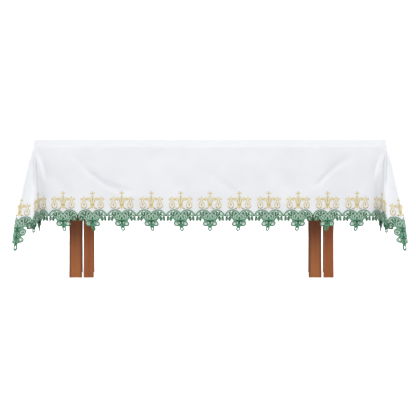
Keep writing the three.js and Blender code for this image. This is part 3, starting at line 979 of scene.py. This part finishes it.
@dataclass(frozen=True)
class ThreadFinish:
    """Satin stitched thread in three tones, dark to pale."""

    name: str
    dark: Colour
    middle: Colour
    pale: Colour
    vary: float = 0.22
    roughness: float = 0.55
    specular: float = 0.35
    bump: float = 0.35
    depth: float = 0.0004

    def material(self) -> bpy.types.Material:
        """Make the material from the thread group and the piece's tone attribute.

        Returns:
            The material.
        """
        mat = bpy.data.materials.new(self.name)
        mat.use_nodes = True
        tree = ShaderTree(mat.node_tree)
        uv = tree.add("ShaderNodeUVMap", uv_map="UVMap")
        thread = tree.add("ShaderNodeGroup", node_tree=NodeGroups.thread())
        tree.feed(thread, {"Vector": uv.outputs["UV"]})
        tone = tree.add("ShaderNodeAttribute", attribute_name="tone")
        vary = tree.add("ShaderNodeMath", {
            0: thread.outputs["Shade"], 1: self.vary, 2: tone.outputs["Fac"]},
            operation="MULTIPLY_ADD")
        centred = tree.add("ShaderNodeMath", {0: vary.outputs["Value"], 1: self.vary / 2.0},
                           operation="SUBTRACT")
        ramp = tree.add("ShaderNodeValToRGB", {"Fac": centred.outputs["Value"]})
        ramp.color_ramp.elements[0].color = self.dark
        ramp.color_ramp.elements[1].color = self.pale
        ramp.color_ramp.elements.new(0.5).color = self.middle
        tree.surface(ramp.outputs["Color"], thread.outputs["Height"], self.bump, self.depth, {
            "Roughness": self.roughness, "Specular IOR Level": self.specular})
        return mat


class Grain(Enum):
    """The axis that the grain of a board runs along, as texture scales in X, Y and Z."""

    ALONG_X = (2.0, 60.0, 60.0)
    ALONG_Y = (60.0, 2.0, 60.0)
    ALONG_Z = (60.0, 60.0, 2.0)


@dataclass(frozen=True)
class WoodFinish:
    """Reddish brown varnished wood, with painted light that makes it lighter and more orange near
    the floor, and painted shade along its long edges.
    """

    name: str
    dark: Colour = linear(122, 68, 41)
    light: Colour = linear(147, 84, 51)
    # painted light: the lighter, more orange colour mixed in near the floor
    low: Colour = linear(197, 124, 71)
    # painted shade: the dark colour mixed in along a board's long edges
    edge: Colour = linear(98, 52, 32)
    low_light_share: float = 0.2
    edge_shade_share: float = 0.0
    low_from: float = 0.34
    low_to: float = 0.04
    middle: float = 0.0
    half_width: float = 0.043
    edge_from: float = 0.55
    grain_detail: float = 6.0
    grain_roughness: float = 0.62
    grain_wander: float = 0.6
    tone_from: float = 0.32
    tone_to: float = 0.68
    roughness: float = 0.6
    specular: float = 0.3
    bump: float = 0.15
    depth: float = 0.001

    def _edge_shade_mask(self, tree: ShaderTree, x: bpy.types.NodeSocket) -> bpy.types.NodeSocket:
        """Mask a board's two long edges for the painted shade, from how far each point is from its
        middle line.

        Args:
            tree: the material's nodes.
            x: the socket with the place along X.

        Returns:
            A socket that goes from 0 in the middle to edge_shade_share at the edges, the share of
            painted shade.
        """
        away = tree.add("ShaderNodeMath", {0: x, 1: self.middle}, operation="SUBTRACT")
        off = tree.add("ShaderNodeMath", {0: away.outputs["Value"]}, operation="ABSOLUTE")
        mask = tree.add("ShaderNodeMapRange", {
            "Value": off.outputs["Value"], "From Min": self.half_width * self.edge_from,
            "From Max": self.half_width, "To Max": self.edge_shade_share},
            interpolation_type="SMOOTHSTEP")
        return mask.outputs["Result"]

    def material(self, grain: Grain) -> bpy.types.Material:
        """Make the material for one direction of grain, from object coordinates.

        Args:
            grain: the direction that the grain runs in.

        Returns:
            The material.
        """
        mat = bpy.data.materials.new(self.name + "_" + grain.name.lower())
        mat.use_nodes = True
        tree = ShaderTree(mat.node_tree)
        where = tree.add("ShaderNodeTexCoord")
        stretch = tree.add("ShaderNodeMapping", {
            "Vector": where.outputs["Object"], "Scale": grain.value})
        noise = tree.add("ShaderNodeTexNoise", {
            "Vector": stretch.outputs["Vector"], "Scale": 1.0, "Detail": self.grain_detail,
            "Roughness": self.grain_roughness, "Distortion": self.grain_wander})
        tone = tree.add("ShaderNodeMapRange", {
            "Value": noise.outputs["Fac"], "From Min": self.tone_from,
            "From Max": self.tone_to})
        board = tree.add("ShaderNodeMix", {
            "Factor": tone.outputs["Result"], "A": self.dark, "B": self.light},
            data_type="RGBA")
        split = tree.add("ShaderNodeSeparateXYZ", {"Vector": where.outputs["Object"]})
        # painted light: lighter and more orange towards the floor
        low = tree.add("ShaderNodeMapRange", {
            "Value": split.outputs["Z"], "From Min": self.low_from, "From Max": self.low_to,
            "To Max": self.low_light_share})
        low_lit = tree.add("ShaderNodeMix", {
            "Factor": low.outputs["Result"], "A": board.outputs["Result"], "B": self.low},
            data_type="RGBA")
        # painted shade: darken the board along its long edges
        edge_shaded = tree.add("ShaderNodeMix", {
            "Factor": self._edge_shade_mask(tree, split.outputs["X"]), "A": low_lit.outputs["Result"],
            "B": self.edge}, data_type="RGBA")
        tree.surface(edge_shaded.outputs["Result"], noise.outputs["Fac"], self.bump, self.depth, {
            "Roughness": self.roughness, "Specular IOR Level": self.specular})
        return mat


@dataclass
class ClothPiece:
    """The linen sheet: flat on the table, bent over its edge and hanging to a scalloped hem."""

    drape: Drape
    scallop: Scallop
    columns: int = 20
    hang_rows: int = 38
    edge_angles: tuple[float, ...] = (0.0, 30.0, 60.0, 90.0)
    top_shares: tuple[float, ...] = (0.96, 0.85, 0.65, 0.4, 0.15, 0.0)
    thickness: float = 1.6
    hem_ease: int = 4
    weld_gap: float = 0.05

    def stations(self) -> np.ndarray:
        """Give the stations of the sheet's columns from the middle of the back."""
        count = int(self.drape.loop) * self.columns
        return self.drape.loop / 2.0 + np.arange(count) / self.columns

    def _top_rows(self, ring: np.ndarray) -> list[np.ndarray]:
        """Run the ring in towards the middle line of the table top, by its shares.

        Args:
            ring: the points where the cloth begins to bend.

        Returns:
            A ring of points for each share, the outermost first.
        """
        half = (self.drape.table_length - self.drape.table_depth) / 2.0 * MM
        target = np.stack(
            [np.clip(ring[:, 0], -half, half), np.zeros(len(ring)), ring[:, 2]], axis=-1
        )
        return [target + (ring - target) * share for share in self.top_shares]

    def build(self) -> bpy.types.Object:
        """Make the sheet from rows round the loop, from the middle of the top to the hem.

        Returns:
            The new object, with its UV in metres of flat cloth.
        """
        drape, station = self.drape, self.stations()
        bends = [drape.bend(station, angle) for angle in self.edge_angles]
        rows = list(reversed(self._top_rows(bends[0]))) + bends
        x = (station - np.round(station)) * drape.pitch
        hem = drape.arch_top(station) + self.scallop.drop(x)
        level = drape.arch_top(station)
        for share in np.linspace(0.0, 1.0, self.hang_rows + 1)[1:]:
            foot = level + (hem - level) * share**self.hem_ease
            drop = drape.edge_radius + share * (foot - drape.edge_radius)
            rows.append(drape.placed(station, drop, np.zeros_like(drop)))
        grid = np.stack(rows)
        lengths = np.linalg.norm(np.diff(grid, axis=0), axis=2).mean(axis=1)
        v = -np.concatenate([[0.0], np.cumsum(lengths)])
        count, wide = len(rows), len(station)
        row = np.arange(count - 1)[:, None] * wide
        a = np.arange(wide)[None, :]
        b = (a + 1) % wide
        quads = np.stack([row + a, row + wide + a, row + wide + b, row + b], axis=-1)
        mesh = bpy.data.meshes.new("linen_cloth")
        mesh.from_pydata(grid.reshape(-1, 3).tolist(), [], quads.reshape(-1, 4).tolist())
        right = np.where(b == 0, wide, a + 1)
        flat_u = np.stack([a + 0 * row, a + 0 * row, right + 0 * row, right + 0 * row], axis=-1)
        u = flat_u / self.columns * drape.pitch * MM
        low = np.arange(count - 1)[:, None] + 0 * a
        flat_v = np.stack([v[low], v[low + 1], v[low + 1], v[low]], axis=-1)
        uv = mesh.uv_layers.new(name="UVMap")
        uv.data.foreach_set("uv", np.stack([u, flat_v], axis=-1).astype(np.float32).ravel())
        mesh.polygons.foreach_set("use_smooth", np.ones(len(mesh.polygons), dtype=bool))
        mesh.update()
        piece = add_object("linen_cloth", mesh)
        weld = piece.modifiers.new("weld", "WELD")
        weld.merge_threshold = self.weld_gap * MM
        solid = piece.modifiers.new("thickness", "SOLIDIFY")
        solid.thickness = self.thickness * MM
        solid.offset = -1.0
        return piece


@dataclass(frozen=True)
class LaceDesign:
    """The stitched ground and the strokes of one lace repeat, along a side and at a corner."""

    step: float = 5.0
    arch: Pair = (45.0, 51.0)
    arch_radii: Pair = (53.5, 48.2)
    cord_inset: float = 6.2
    ground_spacing: float = 9.0
    ground_thickness: float = 1.4
    ground_tone: float = 0.62
    under_arch: tuple[Pair, ...] = (
        (98, 43), (94, 52), (95, 65), (90, 77), (81, 74), (75, 69), (70, 79), (61, 75),
        (55, 64), (47, 68), (40, 77),
    )
    side_pendant: tuple[Pair, ...] = (
        (44, 84), (49, 94), (47, 105), (39, 112), (28, 114), (18, 113), (12, 117), (13, 127),
        (12.5, 137), (8, 144), (0, 146.5),
    )
    corner_pendant: tuple[Pair, ...] = (
        (50, 82), (58, 93), (61, 107), (57, 120), (47, 129), (33, 133), (38, 141), (46, 151),
        (47, 163), (41, 173), (29, 178), (17, 181), (14, 195), (16, 211), (13, 223), (7, 230),
        (0, 232),
    )
    crescent: Pair = (35.6, 39.2)
    crescent_span: Pair = (-50.0, 66.0)
    ground_span: Pair = (-67.0, 76.0)
    rim_step: float = 4.5
    crescent_step: float = 5.0
    oval_step: float = 3.5
    ovals: tuple[Oval, ...] = (
        # x, y, half width, half height
        (77.5, 49.5, 8.0, 4.0), (32, 49, 3.6, 8.5), (12.5, 92, 4.6, 3.2),
    )
    side_ovals: tuple[Oval, ...] = (
        (31, 98, 3.6, 2.8), (0, 131, 5.0, 7.0),
    )
    corner_ovals: tuple[Oval, ...] = (
        (38, 107, 4.0, 3.2), (30, 156, 3.6, 3.0), (0, 208, 5.5, 10.0),
    )

    def ground(self, pendant: Sequence[Pair], ovals: Sequence[Oval]) -> Plate:
        """Cut the ground under both arches and down the pendant, with its crescents and ovals.

        Args:
            pendant: the right half of the pendant's outline, down to its tip.
            ovals: the gaps of the pendant; one on the middle line has no twin.

        Returns:
            The plate.
        """
        c = self.arch
        arch = self._over(0.0, *self.ground_span, self.rim_step)
        right = np.vstack([arch, spline([*self.under_arch, *pendant], self.rim_step)])
        left = right[-2::-1] * np.array([-1.0, 1.0])
        outline = np.vstack([right, left])
        (near, far), (start, stop) = self.crescent, self.crescent_span
        slot = np.vstack([
            arc(c, (far, far), start, stop, self.crescent_step),
            arc(c, (near, near), stop, start, self.crescent_step),
        ])
        rings = [(x, arc((x, y), (w, h), 0, 360, self.oval_step))
                 for x, y, w, h in (*self.ovals, *ovals)]
        gaps = [slot] + [ring for x, ring in rings if x > 0]
        gaps += [gap * np.array([-1.0, 1.0]) for gap in gaps]
        gaps += [ring for x, ring in rings if x == 0]
        return Plate.cut(outline, gaps, self.ground_spacing, self.ground_thickness,
                         self.ground_tone)

    def _over(self, inset: float, start: float, stop: float, step: float) -> np.ndarray:
        """Run over an arch: round up to its top, then a wider ellipse down to the bridge.

        Args:
            inset: how far inside the arch's outer cord.
            start: first angle in degrees, 0 at the top.
            stop: last angle in degrees.
            step: about how far apart the points are.

        Returns:
            The points.
        """
        wide, high = self.arch_radii[0] - inset, self.arch_radii[1] - inset
        first = arc(self.arch, (high, high), start, 0.0, step)
        return np.vstack([first[:-1], arc(self.arch, (wide, high), 0.0, stop, step)])

    def side_ground(self) -> Plate:
        """Cut the ground of a repeat along a side."""
        return self.ground(self.side_pendant, self.side_ovals)

    def corner_ground(self) -> Plate:
        """Cut the ground of the longer corner repeat."""
        return self.ground(self.corner_pendant, self.corner_ovals)

    def _arch_strokes(self) -> list[Stroke]:
        """Give the green and the pale cord over an arch, and the fan of leaves inside it.

        Returns:
            The strokes of the right half.
        """
        out = [
            Stroke(self._over(0.0, -68, 80, self.step), 5.6, 2.6, 0.36),
            Stroke(self._over(self.cord_inset, -60, 96, self.step), 5.2, 2.2, 1.0),
        ]
        for angle, near in ((-40, 8.0), (2, 5.0), (42, 8.0)):
            out.append(Stroke(self._ray(angle, near, 35.0), 14.0, 2.0, 0.0, Profile.LEAF))
            out.append(Stroke(self._ray(angle, 14.0, 28.0), 2.4, 2.9, 0.6, Profile.LEAF))
        for angle in (-62, -19, 22, 64):
            out.append(Stroke(self._ray(angle, 13.0, 36.0), 4.8, 2.2, 0.98))
        return out

    def _ray(self, degrees: float, near: float, far: float) -> np.ndarray:
        """Run straight away from the arch centre.

        Args:
            degrees: the direction, 0 upwards and rising towards +x.
            near: distance of its first point from the centre.
            far: distance of its last point.

        Returns:
            The points.
        """
        angle = math.radians(degrees)
        way = np.array([math.sin(angle), -math.cos(angle)])
        count = max(2, int(round((far - near) / self.step)) + 1)
        return np.array(self.arch) + np.linspace(near, far, count)[:, None] * way

    def _side_strokes(self) -> list[Stroke]:
        """Give the bridge, the leaves under an arch's outer end, the loop and the swag.

        Returns:
            The strokes of the right half.
        """
        s = self.step
        return [
            Stroke(spline([(92, 36), (96, 40.0), (100.5, 40.5)], s), 9.0, 2.8, 0.0),
            Stroke(spline([(80, 47), (88, 60), (92, 79)], s), 14.5, 2.4, 0.02, Profile.LEAF),
            Stroke(spline([(61, 46), (66, 60), (65, 81)], s), 14.5, 2.4, 0.02, Profile.LEAF),
            Stroke(spline([(83, 54), (87, 63), (89, 72)], s), 3.4, 3.3, 0.85, Profile.LEAF),
            Stroke(spline([(64, 54), (66, 63), (66, 73)], s), 3.4, 3.3, 0.85, Profile.LEAF),
            Stroke(spline([(73, 54), (76, 63), (78, 74)], s), 7.0, 2.2, 0.8, Profile.LEAF),
            Stroke(spline([(57, 56), (49, 63), (43, 72), (40, 80)], s), 5.0, 2.6, 0.9),
            Stroke(spline([(52, 52), (43, 60), (35, 68), (26, 73)], s), 4.6, 2.4, 0.3),
            Stroke(arc((32, 49), (8.2, 13.0), 0, 360, 4.5), 4.6, 2.6, 1.0, closed=True),
            Stroke(spline([(0, 42), (6, 49), (12, 58), (15, 68)], s), 4.2, 2.5, 0.95),
            Stroke(spline([(0, 43), (7, 36), (13, 28)], s), 4.2, 2.5, 0.95),
            Stroke(spline([(17, 36), (17, 46), (20, 58)], s), 7.0, 2.0, 0.08, Profile.LEAF),
            Stroke(spline([(1, 79), (13, 76), (27, 78)], s), 11.0, 3.0, 0.0, Profile.LEAF),
        ]

    def _middle_strokes(self) -> list[Stroke]:
        """Give the leaves under the cusp and the dark knot above the pendant.

        Returns:
            Strokes on the middle line, which have no twin.
        """
        s = self.step
        return [
            Stroke(spline([(0, 22), (0, 29), (0, 37)], s), 8.0, 1.9, 0.2, Profile.LEAF),
            Stroke(spline([(0, 48), (0, 60), (0, 73)], s), 11.0, 1.9, 0.15, Profile.LEAF),
            Stroke(arc((0, 81), (4.5, 4.5), 0, 360, 4.0), 10.0, 3.4, 0.0, closed=True),
        ]

    def _petal(self, centre: Pair, radii: Pair, turn: float) -> list[Stroke]:
        """Give a petal: a green outer ring round a pale inner ring.

        Args:
            centre: its middle.
            radii: half its width and half its height.
            turn: how far it is turned, in degrees.

        Returns:
            Its two strokes.
        """
        outer = (radii[0] - 2.6, radii[1] - 2.6)
        inner = (radii[0] - 9.0, radii[1] - 8.6)
        return [
            Stroke(arc(centre, outer, 0, 360, 4.5, turn), 5.2, 2.5, 0.2, closed=True),
            Stroke(arc(centre, inner, 0, 360, 4.0, turn), 6.4, 2.1, 1.0, closed=True),
        ]

    def side(self) -> list[Stroke]:
        """Give every stroke of a repeat along a side.

        Returns:
            The strokes on the middle line, then the right half and the left half.
        """
        s = self.step
        half = self._arch_strokes() + self._side_strokes() + self._petal((30, 97), (18, 16), -14)
        half += [
            Stroke(spline([(4, 86), (7, 96), (14, 104)], s), 7.0, 2.6, 0.15, Profile.LEAF),
            Stroke(spline([(2, 116), (10, 113), (18, 112)], s), 6.0, 2.2, 0.2),
        ]
        middle = self._middle_strokes() + [
            Stroke(spline([(0, 86), (0, 99), (0, 114)], s), 13.0, 2.4, 0.3, Profile.LEAF),
            Stroke(spline([(0, 110), (0, 116), (0, 122)], s), 12.0, 2.8, 0.05, Profile.LEAF),
            Stroke(arc((0, 131), (9.6, 12.6), 0, 360, 4.0), 6.8, 2.5, 0.26, closed=True),
            Stroke(arc((0, 131), (9.4, 12.4), 140, 220, 4.0), 6.6, 2.9, 0.15),
        ]
        return middle + half + [stroke.mirrored() for stroke in half]

    def corner(self) -> list[Stroke]:
        """Give every stroke of the longer corner repeat.

        Returns:
            The strokes on the middle line, then the right half and the left half.
        """
        s = self.step
        half = self._arch_strokes() + self._side_strokes()
        half += self._petal((38, 107), (23, 20), -16) + self._petal((30, 156), (18, 18), -18)
        half += [
            Stroke(spline([(3, 88), (9, 98), (17, 108)], s), 10.0, 2.6, 0.05, Profile.LEAF),
            Stroke(spline([(2, 136), (12, 132), (26, 130)], s), 7.0, 2.4, 0.15),
            Stroke(spline([(2, 138), (9, 146), (14, 156)], s), 9.0, 2.6, 0.05, Profile.LEAF),
            Stroke(spline([(2, 184), (10, 179), (22, 176)], s), 6.5, 2.2, 0.2),
        ]
        middle = self._middle_strokes() + [
            Stroke(spline([(0, 88), (0, 110), (0, 136)], s), 16.0, 2.6, 0.1, Profile.LEAF),
            Stroke(spline([(0, 134), (0, 158), (0, 190)], s), 15.0, 2.6, 0.1, Profile.LEAF),
            Stroke(spline([(0, 94), (0, 110), (0, 130)], s), 3.0, 3.4, 0.8, Profile.LEAF),
            Stroke(spline([(0, 144), (0, 160), (0, 182)], s), 3.0, 3.4, 0.8, Profile.LEAF),
            Stroke(arc((0, 209), (10.8, 19.0), 0, 360, 4.5), 8.4, 2.5, 0.26, closed=True),
            Stroke(arc((0, 209), (10.6, 19.0), 150, 210, 4.0), 7.4, 2.9, 0.15),
        ]
        return middle + half + [stroke.mirrored() for stroke in half]


@dataclass(frozen=True)
class EmbroideryDesign:
    """A small cross over a lily, between two scrolled sprigs, above the lace."""

    step: float = 4.0
    width: float = 7.4
    height: float = 1.6
    sprig: float = 58.0

    def _sprig(self) -> list[Stroke]:
        """Give two curled stems round a leaf and a bud, alike to both sides of their middle, each
        with painted shade: a darker stroke over its lowest curve.

        Returns:
            The strokes of the right sprig.
        """
        s, x, h = self.step, self.sprig, self.height
        stem = spline([(0, -10), (12, -13), (18.5, -26), (15.5, -41), (8, -52), (6, -63),
                       (11, -74), (19, -74), (19.5, -66), (14.5, -64)], s)
        # painted shade: a darker, slightly higher stroke over the lowest curve of each stem
        foot = spline([(0, -9.5), (9, -10.5), (15.5, -17)], s)
        out = [
            Stroke(spline([(x, -22), (x, -33), (x, -47)], s), 9.0, h, 0.3, Profile.LEAF),
            Stroke(spline([(x, -70), (x, -80), (x, -91)], s), 8.0, h, 0.55, Profile.LEAF),
        ]
        for side in (-1.0, 1.0):
            flip, place = np.array([side, 1.0]), np.array([x, 0.0])
            out.append(Stroke(stem * flip + place, 6.4, h, 0.5))
            out.append(Stroke(foot * flip + place, 6.4, h + 0.3, 0.12))
        return out

    def strokes(self) -> list[Stroke]:
        """Give every stroke of the ornament.

        Returns:
            The strokes on the middle line, then the right half and the left half.
        """
        s, w, h = self.step, self.width, self.height
        half = self._sprig() + [
            Stroke(spline([(5, -34), (12, -46), (17, -62), (22, -76), (30, -79), (33, -69),
                           (27, -62)], s), w, h, 0.55),
            Stroke(spline([(5, -30), (10, -19), (19, -9), (30, -8)], s), w, h, 0.5),
            # painted shade: a darker, slightly higher stroke over the lowest curve of the scroll
            Stroke(spline([(17, -10), (24, -7.5), (30, -8)], s), w, h + 0.3, 0.15),
            Stroke(spline([(0, -33), (11, -56), (10, -76), (0, -95)], s), 5.4, h, 0.6),
        ]
        middle = [
            Stroke(spline([(0, -96), (0, -110), (0, -126)], s), 5.8, h, 0.45),
            Stroke(spline([(-15, -111), (0, -111), (15, -111)], s), 6.2, h, 0.45),
            Stroke(spline([(0, -84), (0, -68), (0, -46)], s), 7.0, h, 0.2, Profile.LEAF),
            Stroke(spline([(0, -28), (0, -17), (0, -4)], s), 9.0, h, 0.45, Profile.LEAF),
            Stroke(spline([(-13, -32), (0, -33), (13, -32)], s), 6.4, h + 0.4, 0.2),
        ]
        return middle + half + [stroke.mirrored() for stroke in half]


@dataclass
class Edging:
    """Builds the lengths of lace, the corner repeats and the embroidery round the cloth."""

    drape: Drape
    lace: LaceDesign = field(default_factory=LaceDesign)
    ornament: EmbroideryDesign = field(default_factory=EmbroideryDesign)
    lace_lift: float = -1.0
    stitch_lift: float = 0.2
    lean: Lean = Lean(most=11.0)
    lengths: tuple[tuple[str, int, int], ...] = (
        ("front", -6, 6), ("right", 8, 12), ("back", 14, 26), ("left", 28, 32),
    )
    embroidered: tuple[tuple[str, int, int], ...] = (
        ("front", -7, 7), ("right", 8, 12), ("back", 13, 27), ("left", 28, 32),
    )
    corners: tuple[tuple[str, int], ...] = (
        ("front_right", 7), ("back_right", 13), ("back_left", 27), ("front_left", 33),
    )

    def _run(self, name: str, strokes: Iterable[Stroke], first: int, last: int,
             lift: float, lean: Lean = Lean(), ground: Plate | None = None) -> bpy.types.Object:
        """Repeat strokes and their ground along the cloth as one object.

        Args:
            name: the object's name.
            strokes: the strokes of one repeat.
            first: the first station.
            last: the last station.
            lift: height of the strokes' middle over the outer face of the cloth.
            lean: how the pendants lean.
            ground: the stitched ground of one repeat, if it has one.

        Returns:
            The new object.
        """
        middle = (first + last) // 2
        mesh = StrokeMesh()
        for k in range(first, last + 1):
            shift = (k - middle) * self.drape.pitch
            if ground:
                mesh.add_plate(ground, shift)
            for stroke in strokes:
                mesh.add(stroke, shift)
        return mesh.build(name, self.drape, float(middle), lift, lean)

    def build_lace(self) -> dict[str, bpy.types.Object]:
        """Make every lace piece.

        Returns:
            The pieces by the name of the CAD node that each stands for.
        """
        pieces = {}
        ground, corner_ground = self.lace.side_ground(), self.lace.corner_ground()
        for name, first, last in self.lengths:
            lean = self.lean if name == "front" else Lean()
            pieces["lace_" + name] = self._run(
                "lace_cords_" + name, self.lace.side(), first, last, self.lace_lift, lean, ground)
        for name, station in self.corners:
            pieces["lace_corner_" + name] = self._run(
                "lace_corner_cords_" + name, self.lace.corner(), station, station,
                self.lace_lift, Lean(), corner_ground)
        return pieces

    def build_embroidery(self) -> list[bpy.types.Object]:
        """Make the gold ornament over every repeat.

        Returns:
            A piece for each side.
        """
        return [
            self._run("gold_embroidery_" + name, self.ornament.strokes(), first, last,
                      self.stitch_lift)
            for name, first, last in self.embroidered
        ]


@dataclass(frozen=True)
class Lamp:
    """One soft rectangular light: its place and aim and size in metres, its power in watts."""

    name: str
    place: Place
    aim: Place
    size: Pair
    power: float


@dataclass
class Studio:
    """The camera, the lights and the pale ground."""

    pixels: float = 416.0
    sensor: float = 36.0
    distance: float = 100.0
    pitch_degrees: float = 3.6
    clip: Pair = (1.0, 600.0)
    aim: Place = (-0.0136, -0.4, 0.4807)
    metres_per_pixel: float = 0.006805
    surround: float = 0.36
    floor_half: float = 120.0
    floor_drop: float = 0.0005
    floor_glow: float = 0.85
    floor_colour: Colour = (0.8, 0.8, 0.8, 1.0)
    lamps: tuple[Lamp, ...] = (
        Lamp("overhead", place=(0.0, 0.2, 5.0), aim=(0.0, 0.0, 0.8), size=(5.0, 2.5), power=31.0),
        Lamp("front", place=(-0.2, -3.4, 3.7), aim=(0.0, -0.4, 0.6), size=(4.4, 1.2), power=53.0),
        Lamp("fill", place=(0.0, -9.0, 0.9), aim=(0.0, -0.4, 0.6), size=(5.0, 1.2), power=52.0),
        Lamp("left", place=(-12.0, -2.3, 3.2), aim=(0.0, -0.4, 0.6), size=(5.0, 3.0), power=700.0),
        Lamp("right", place=(12.0, -2.3, 3.2), aim=(0.0, -0.4, 0.6), size=(5.0, 3.0), power=700.0),
        Lamp("back", place=(0.3, 4.6, 1.5), aim=(0.0, 0.4, 0.6), size=(4.0, 1.4), power=80.0),
    )

    def camera(self) -> None:
        """Look at the front from far off, a little from above."""
        data = bpy.data.cameras.new("camera")
        slant = self.distance / math.cos(math.radians(self.pitch_degrees))
        data.sensor_width = self.sensor
        data.lens = slant / self.metres_per_pixel * self.sensor / self.pixels
        data.clip_start, data.clip_end = self.clip
        cam = add_object("camera", data)
        up = self.distance * math.tan(math.radians(self.pitch_degrees))
        x, y, z = self.aim
        cam.location = (x, y - self.distance, z + up)
        cam.rotation_euler = (math.radians(90.0 - self.pitch_degrees), 0.0, 0.0)
        bpy.context.scene.camera = cam

    def _hang(self, lamp: Lamp) -> None:
        """Hang one soft rectangular light, turned towards its aim.

        Args:
            lamp: the light.
        """
        data = bpy.data.lights.new(lamp.name, "AREA")
        data.shape = "RECTANGLE"
        data.size, data.size_y = lamp.size
        data.energy = lamp.power
        light = add_object(lamp.name, data)
        light.visible_camera = False
        light.location = lamp.place
        way = Vector(lamp.aim) - Vector(lamp.place)
        light.rotation_euler = way.to_track_quat("-Z", "Y").to_euler()

    def lights(self) -> None:
        """Light from above, from the front, from far off to both sides and from the back."""
        for lamp in self.lamps:
            self._hang(lamp)
        world = bpy.data.worlds.new("surround")
        world.use_nodes = True
        tree = ShaderTree(world.node_tree)
        background = world.node_tree.nodes["Background"]
        tree.feed(background, {"Color": (1.0, 1.0, 1.0, 1.0), "Strength": self.surround})
        path = tree.add("ShaderNodeLightPath")
        seen = tree.add("ShaderNodeMapRange", {
            "Value": path.outputs["Is Camera Ray"], "To Min": self.surround, "To Max": 1.0})
        tree.feed(background, {"Strength": seen.outputs["Result"]})
        bpy.context.scene.world = world

    def ground(self) -> None:
        """Lay a wide white floor that catches only a faint shadow."""
        mesh = bpy.data.meshes.new("floor")
        half = self.floor_half
        corners = [(-half, -half, 0.0), (half, -half, 0.0), (half, half, 0.0), (-half, half, 0.0)]
        mesh.from_pydata(corners, [], [(0, 1, 2, 3)])
        floor = add_object("floor", mesh)
        floor.location = (0.0, 0.0, -self.floor_drop)
        mat = bpy.data.materials.new("floor")
        mat.use_nodes = True
        tree = ShaderTree(mat.node_tree)
        path = tree.add("ShaderNodeLightPath")
        seen = tree.add("ShaderNodeMath", {
            0: path.outputs["Is Camera Ray"], 1: self.floor_glow}, operation="MULTIPLY")
        tree.feed(mat.node_tree.nodes["Principled BSDF"], {
            "Base Color": self.floor_colour, "Roughness": 1.0, "Specular IOR Level": 0.0,
            "Emission Color": (1.0, 1.0, 1.0, 1.0), "Emission Strength": seen.outputs["Value"]})
        mesh.materials.append(mat)

    def view(self) -> None:
        """Show the colours as they are."""
        scene = bpy.context.scene
        scene.view_settings.view_transform = "Standard"
        scene.view_settings.look = "None"


def dress(piece: bpy.types.Object, material: bpy.types.Material) -> None:
    """Give a piece one material in place of any it has.

    Args:
        piece: the object.
        material: its new material.
    """
    slots = piece.data.materials
    if len(slots):
        for i in range(len(slots)):
            slots[i] = material
    else:
        slots.append(material)


@dataclass
class Table:
    """The plain table: its CAD nodes stay and get wood with the grain along each board."""

    plain: WoodFinish = WoodFinish(
        "plain_wood", dark=linear(144, 80, 46), light=linear(172, 98, 58))
    # the wide posts get more painted light near the floor and painted shade along their long edges
    wide: tuple[tuple[str, WoodFinish], ...] = (
        ("left_wide", WoodFinish("left_board", low_light_share=0.65, edge_shade_share=0.75, middle=-0.915)),
        ("right_wide", WoodFinish("right_board", low_light_share=0.65, edge_shade_share=0.75, middle=0.716)),
    )
    prefixes: tuple[tuple[str, Grain], ...] = (
        ("table_board", Grain.ALONG_X),
        ("rail_", Grain.ALONG_Y),
        ("bearer_", Grain.ALONG_Y),
        ("post_", Grain.ALONG_Z),
    )

    def dress(self) -> None:
        """Put the wood on every node of the table."""
        made = {grain: self.plain.material(grain) for grain in Grain}
        posts = {name: finish.material(Grain.ALONG_Z) for name, finish in self.wide}
        for row in frame["record"]["subparts"]:
            node = row["node"]
            for prefix, grain in self.prefixes:
                if node.startswith(prefix):
                    dress(bpy.data.objects[node], made[grain])
            for name, material in posts.items():
                if node.startswith("post_") and node.endswith(name):
                    dress(bpy.data.objects[node], material)


def main() -> None:
    """Build the cloth, the lace and the embroidery, dress the table and light it all."""
    logging.basicConfig(level=logging.INFO, format="%(message)s")
    drape = Drape()
    studio = Studio()
    studio.camera()
    studio.lights()
    studio.ground()
    studio.view()
    Table().dress()

    cloth = ClothPiece(drape, Scallop()).build()
    dress(cloth, LinenFinish().material())
    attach(cloth, "root")
    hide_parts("cloth")
    LOG.info("cloth: %d faces", len(cloth.data.polygons))

    edging = Edging(drape)
    green = ThreadFinish(
        "green_thread", linear(26, 94, 62), linear(82, 160, 121), linear(214, 226, 216)
    ).material()
    lace = edging.build_lace()
    for node, piece in lace.items():
        dress(piece, green)
        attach(piece, "root")
        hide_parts(node)
        LOG.info("%s: %d faces", piece.name, len(piece.data.polygons))

    gold = ThreadFinish(
        "gold_thread", linear(170, 138, 84), linear(228, 209, 138), linear(242, 231, 180)
    ).material()
    stitched = edging.build_embroidery()
    for piece in stitched:
        dress(piece, gold)
        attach(piece, "root")
        LOG.info("%s: %d faces", piece.name, len(piece.data.polygons))


if __name__ == "__main__":
    main()
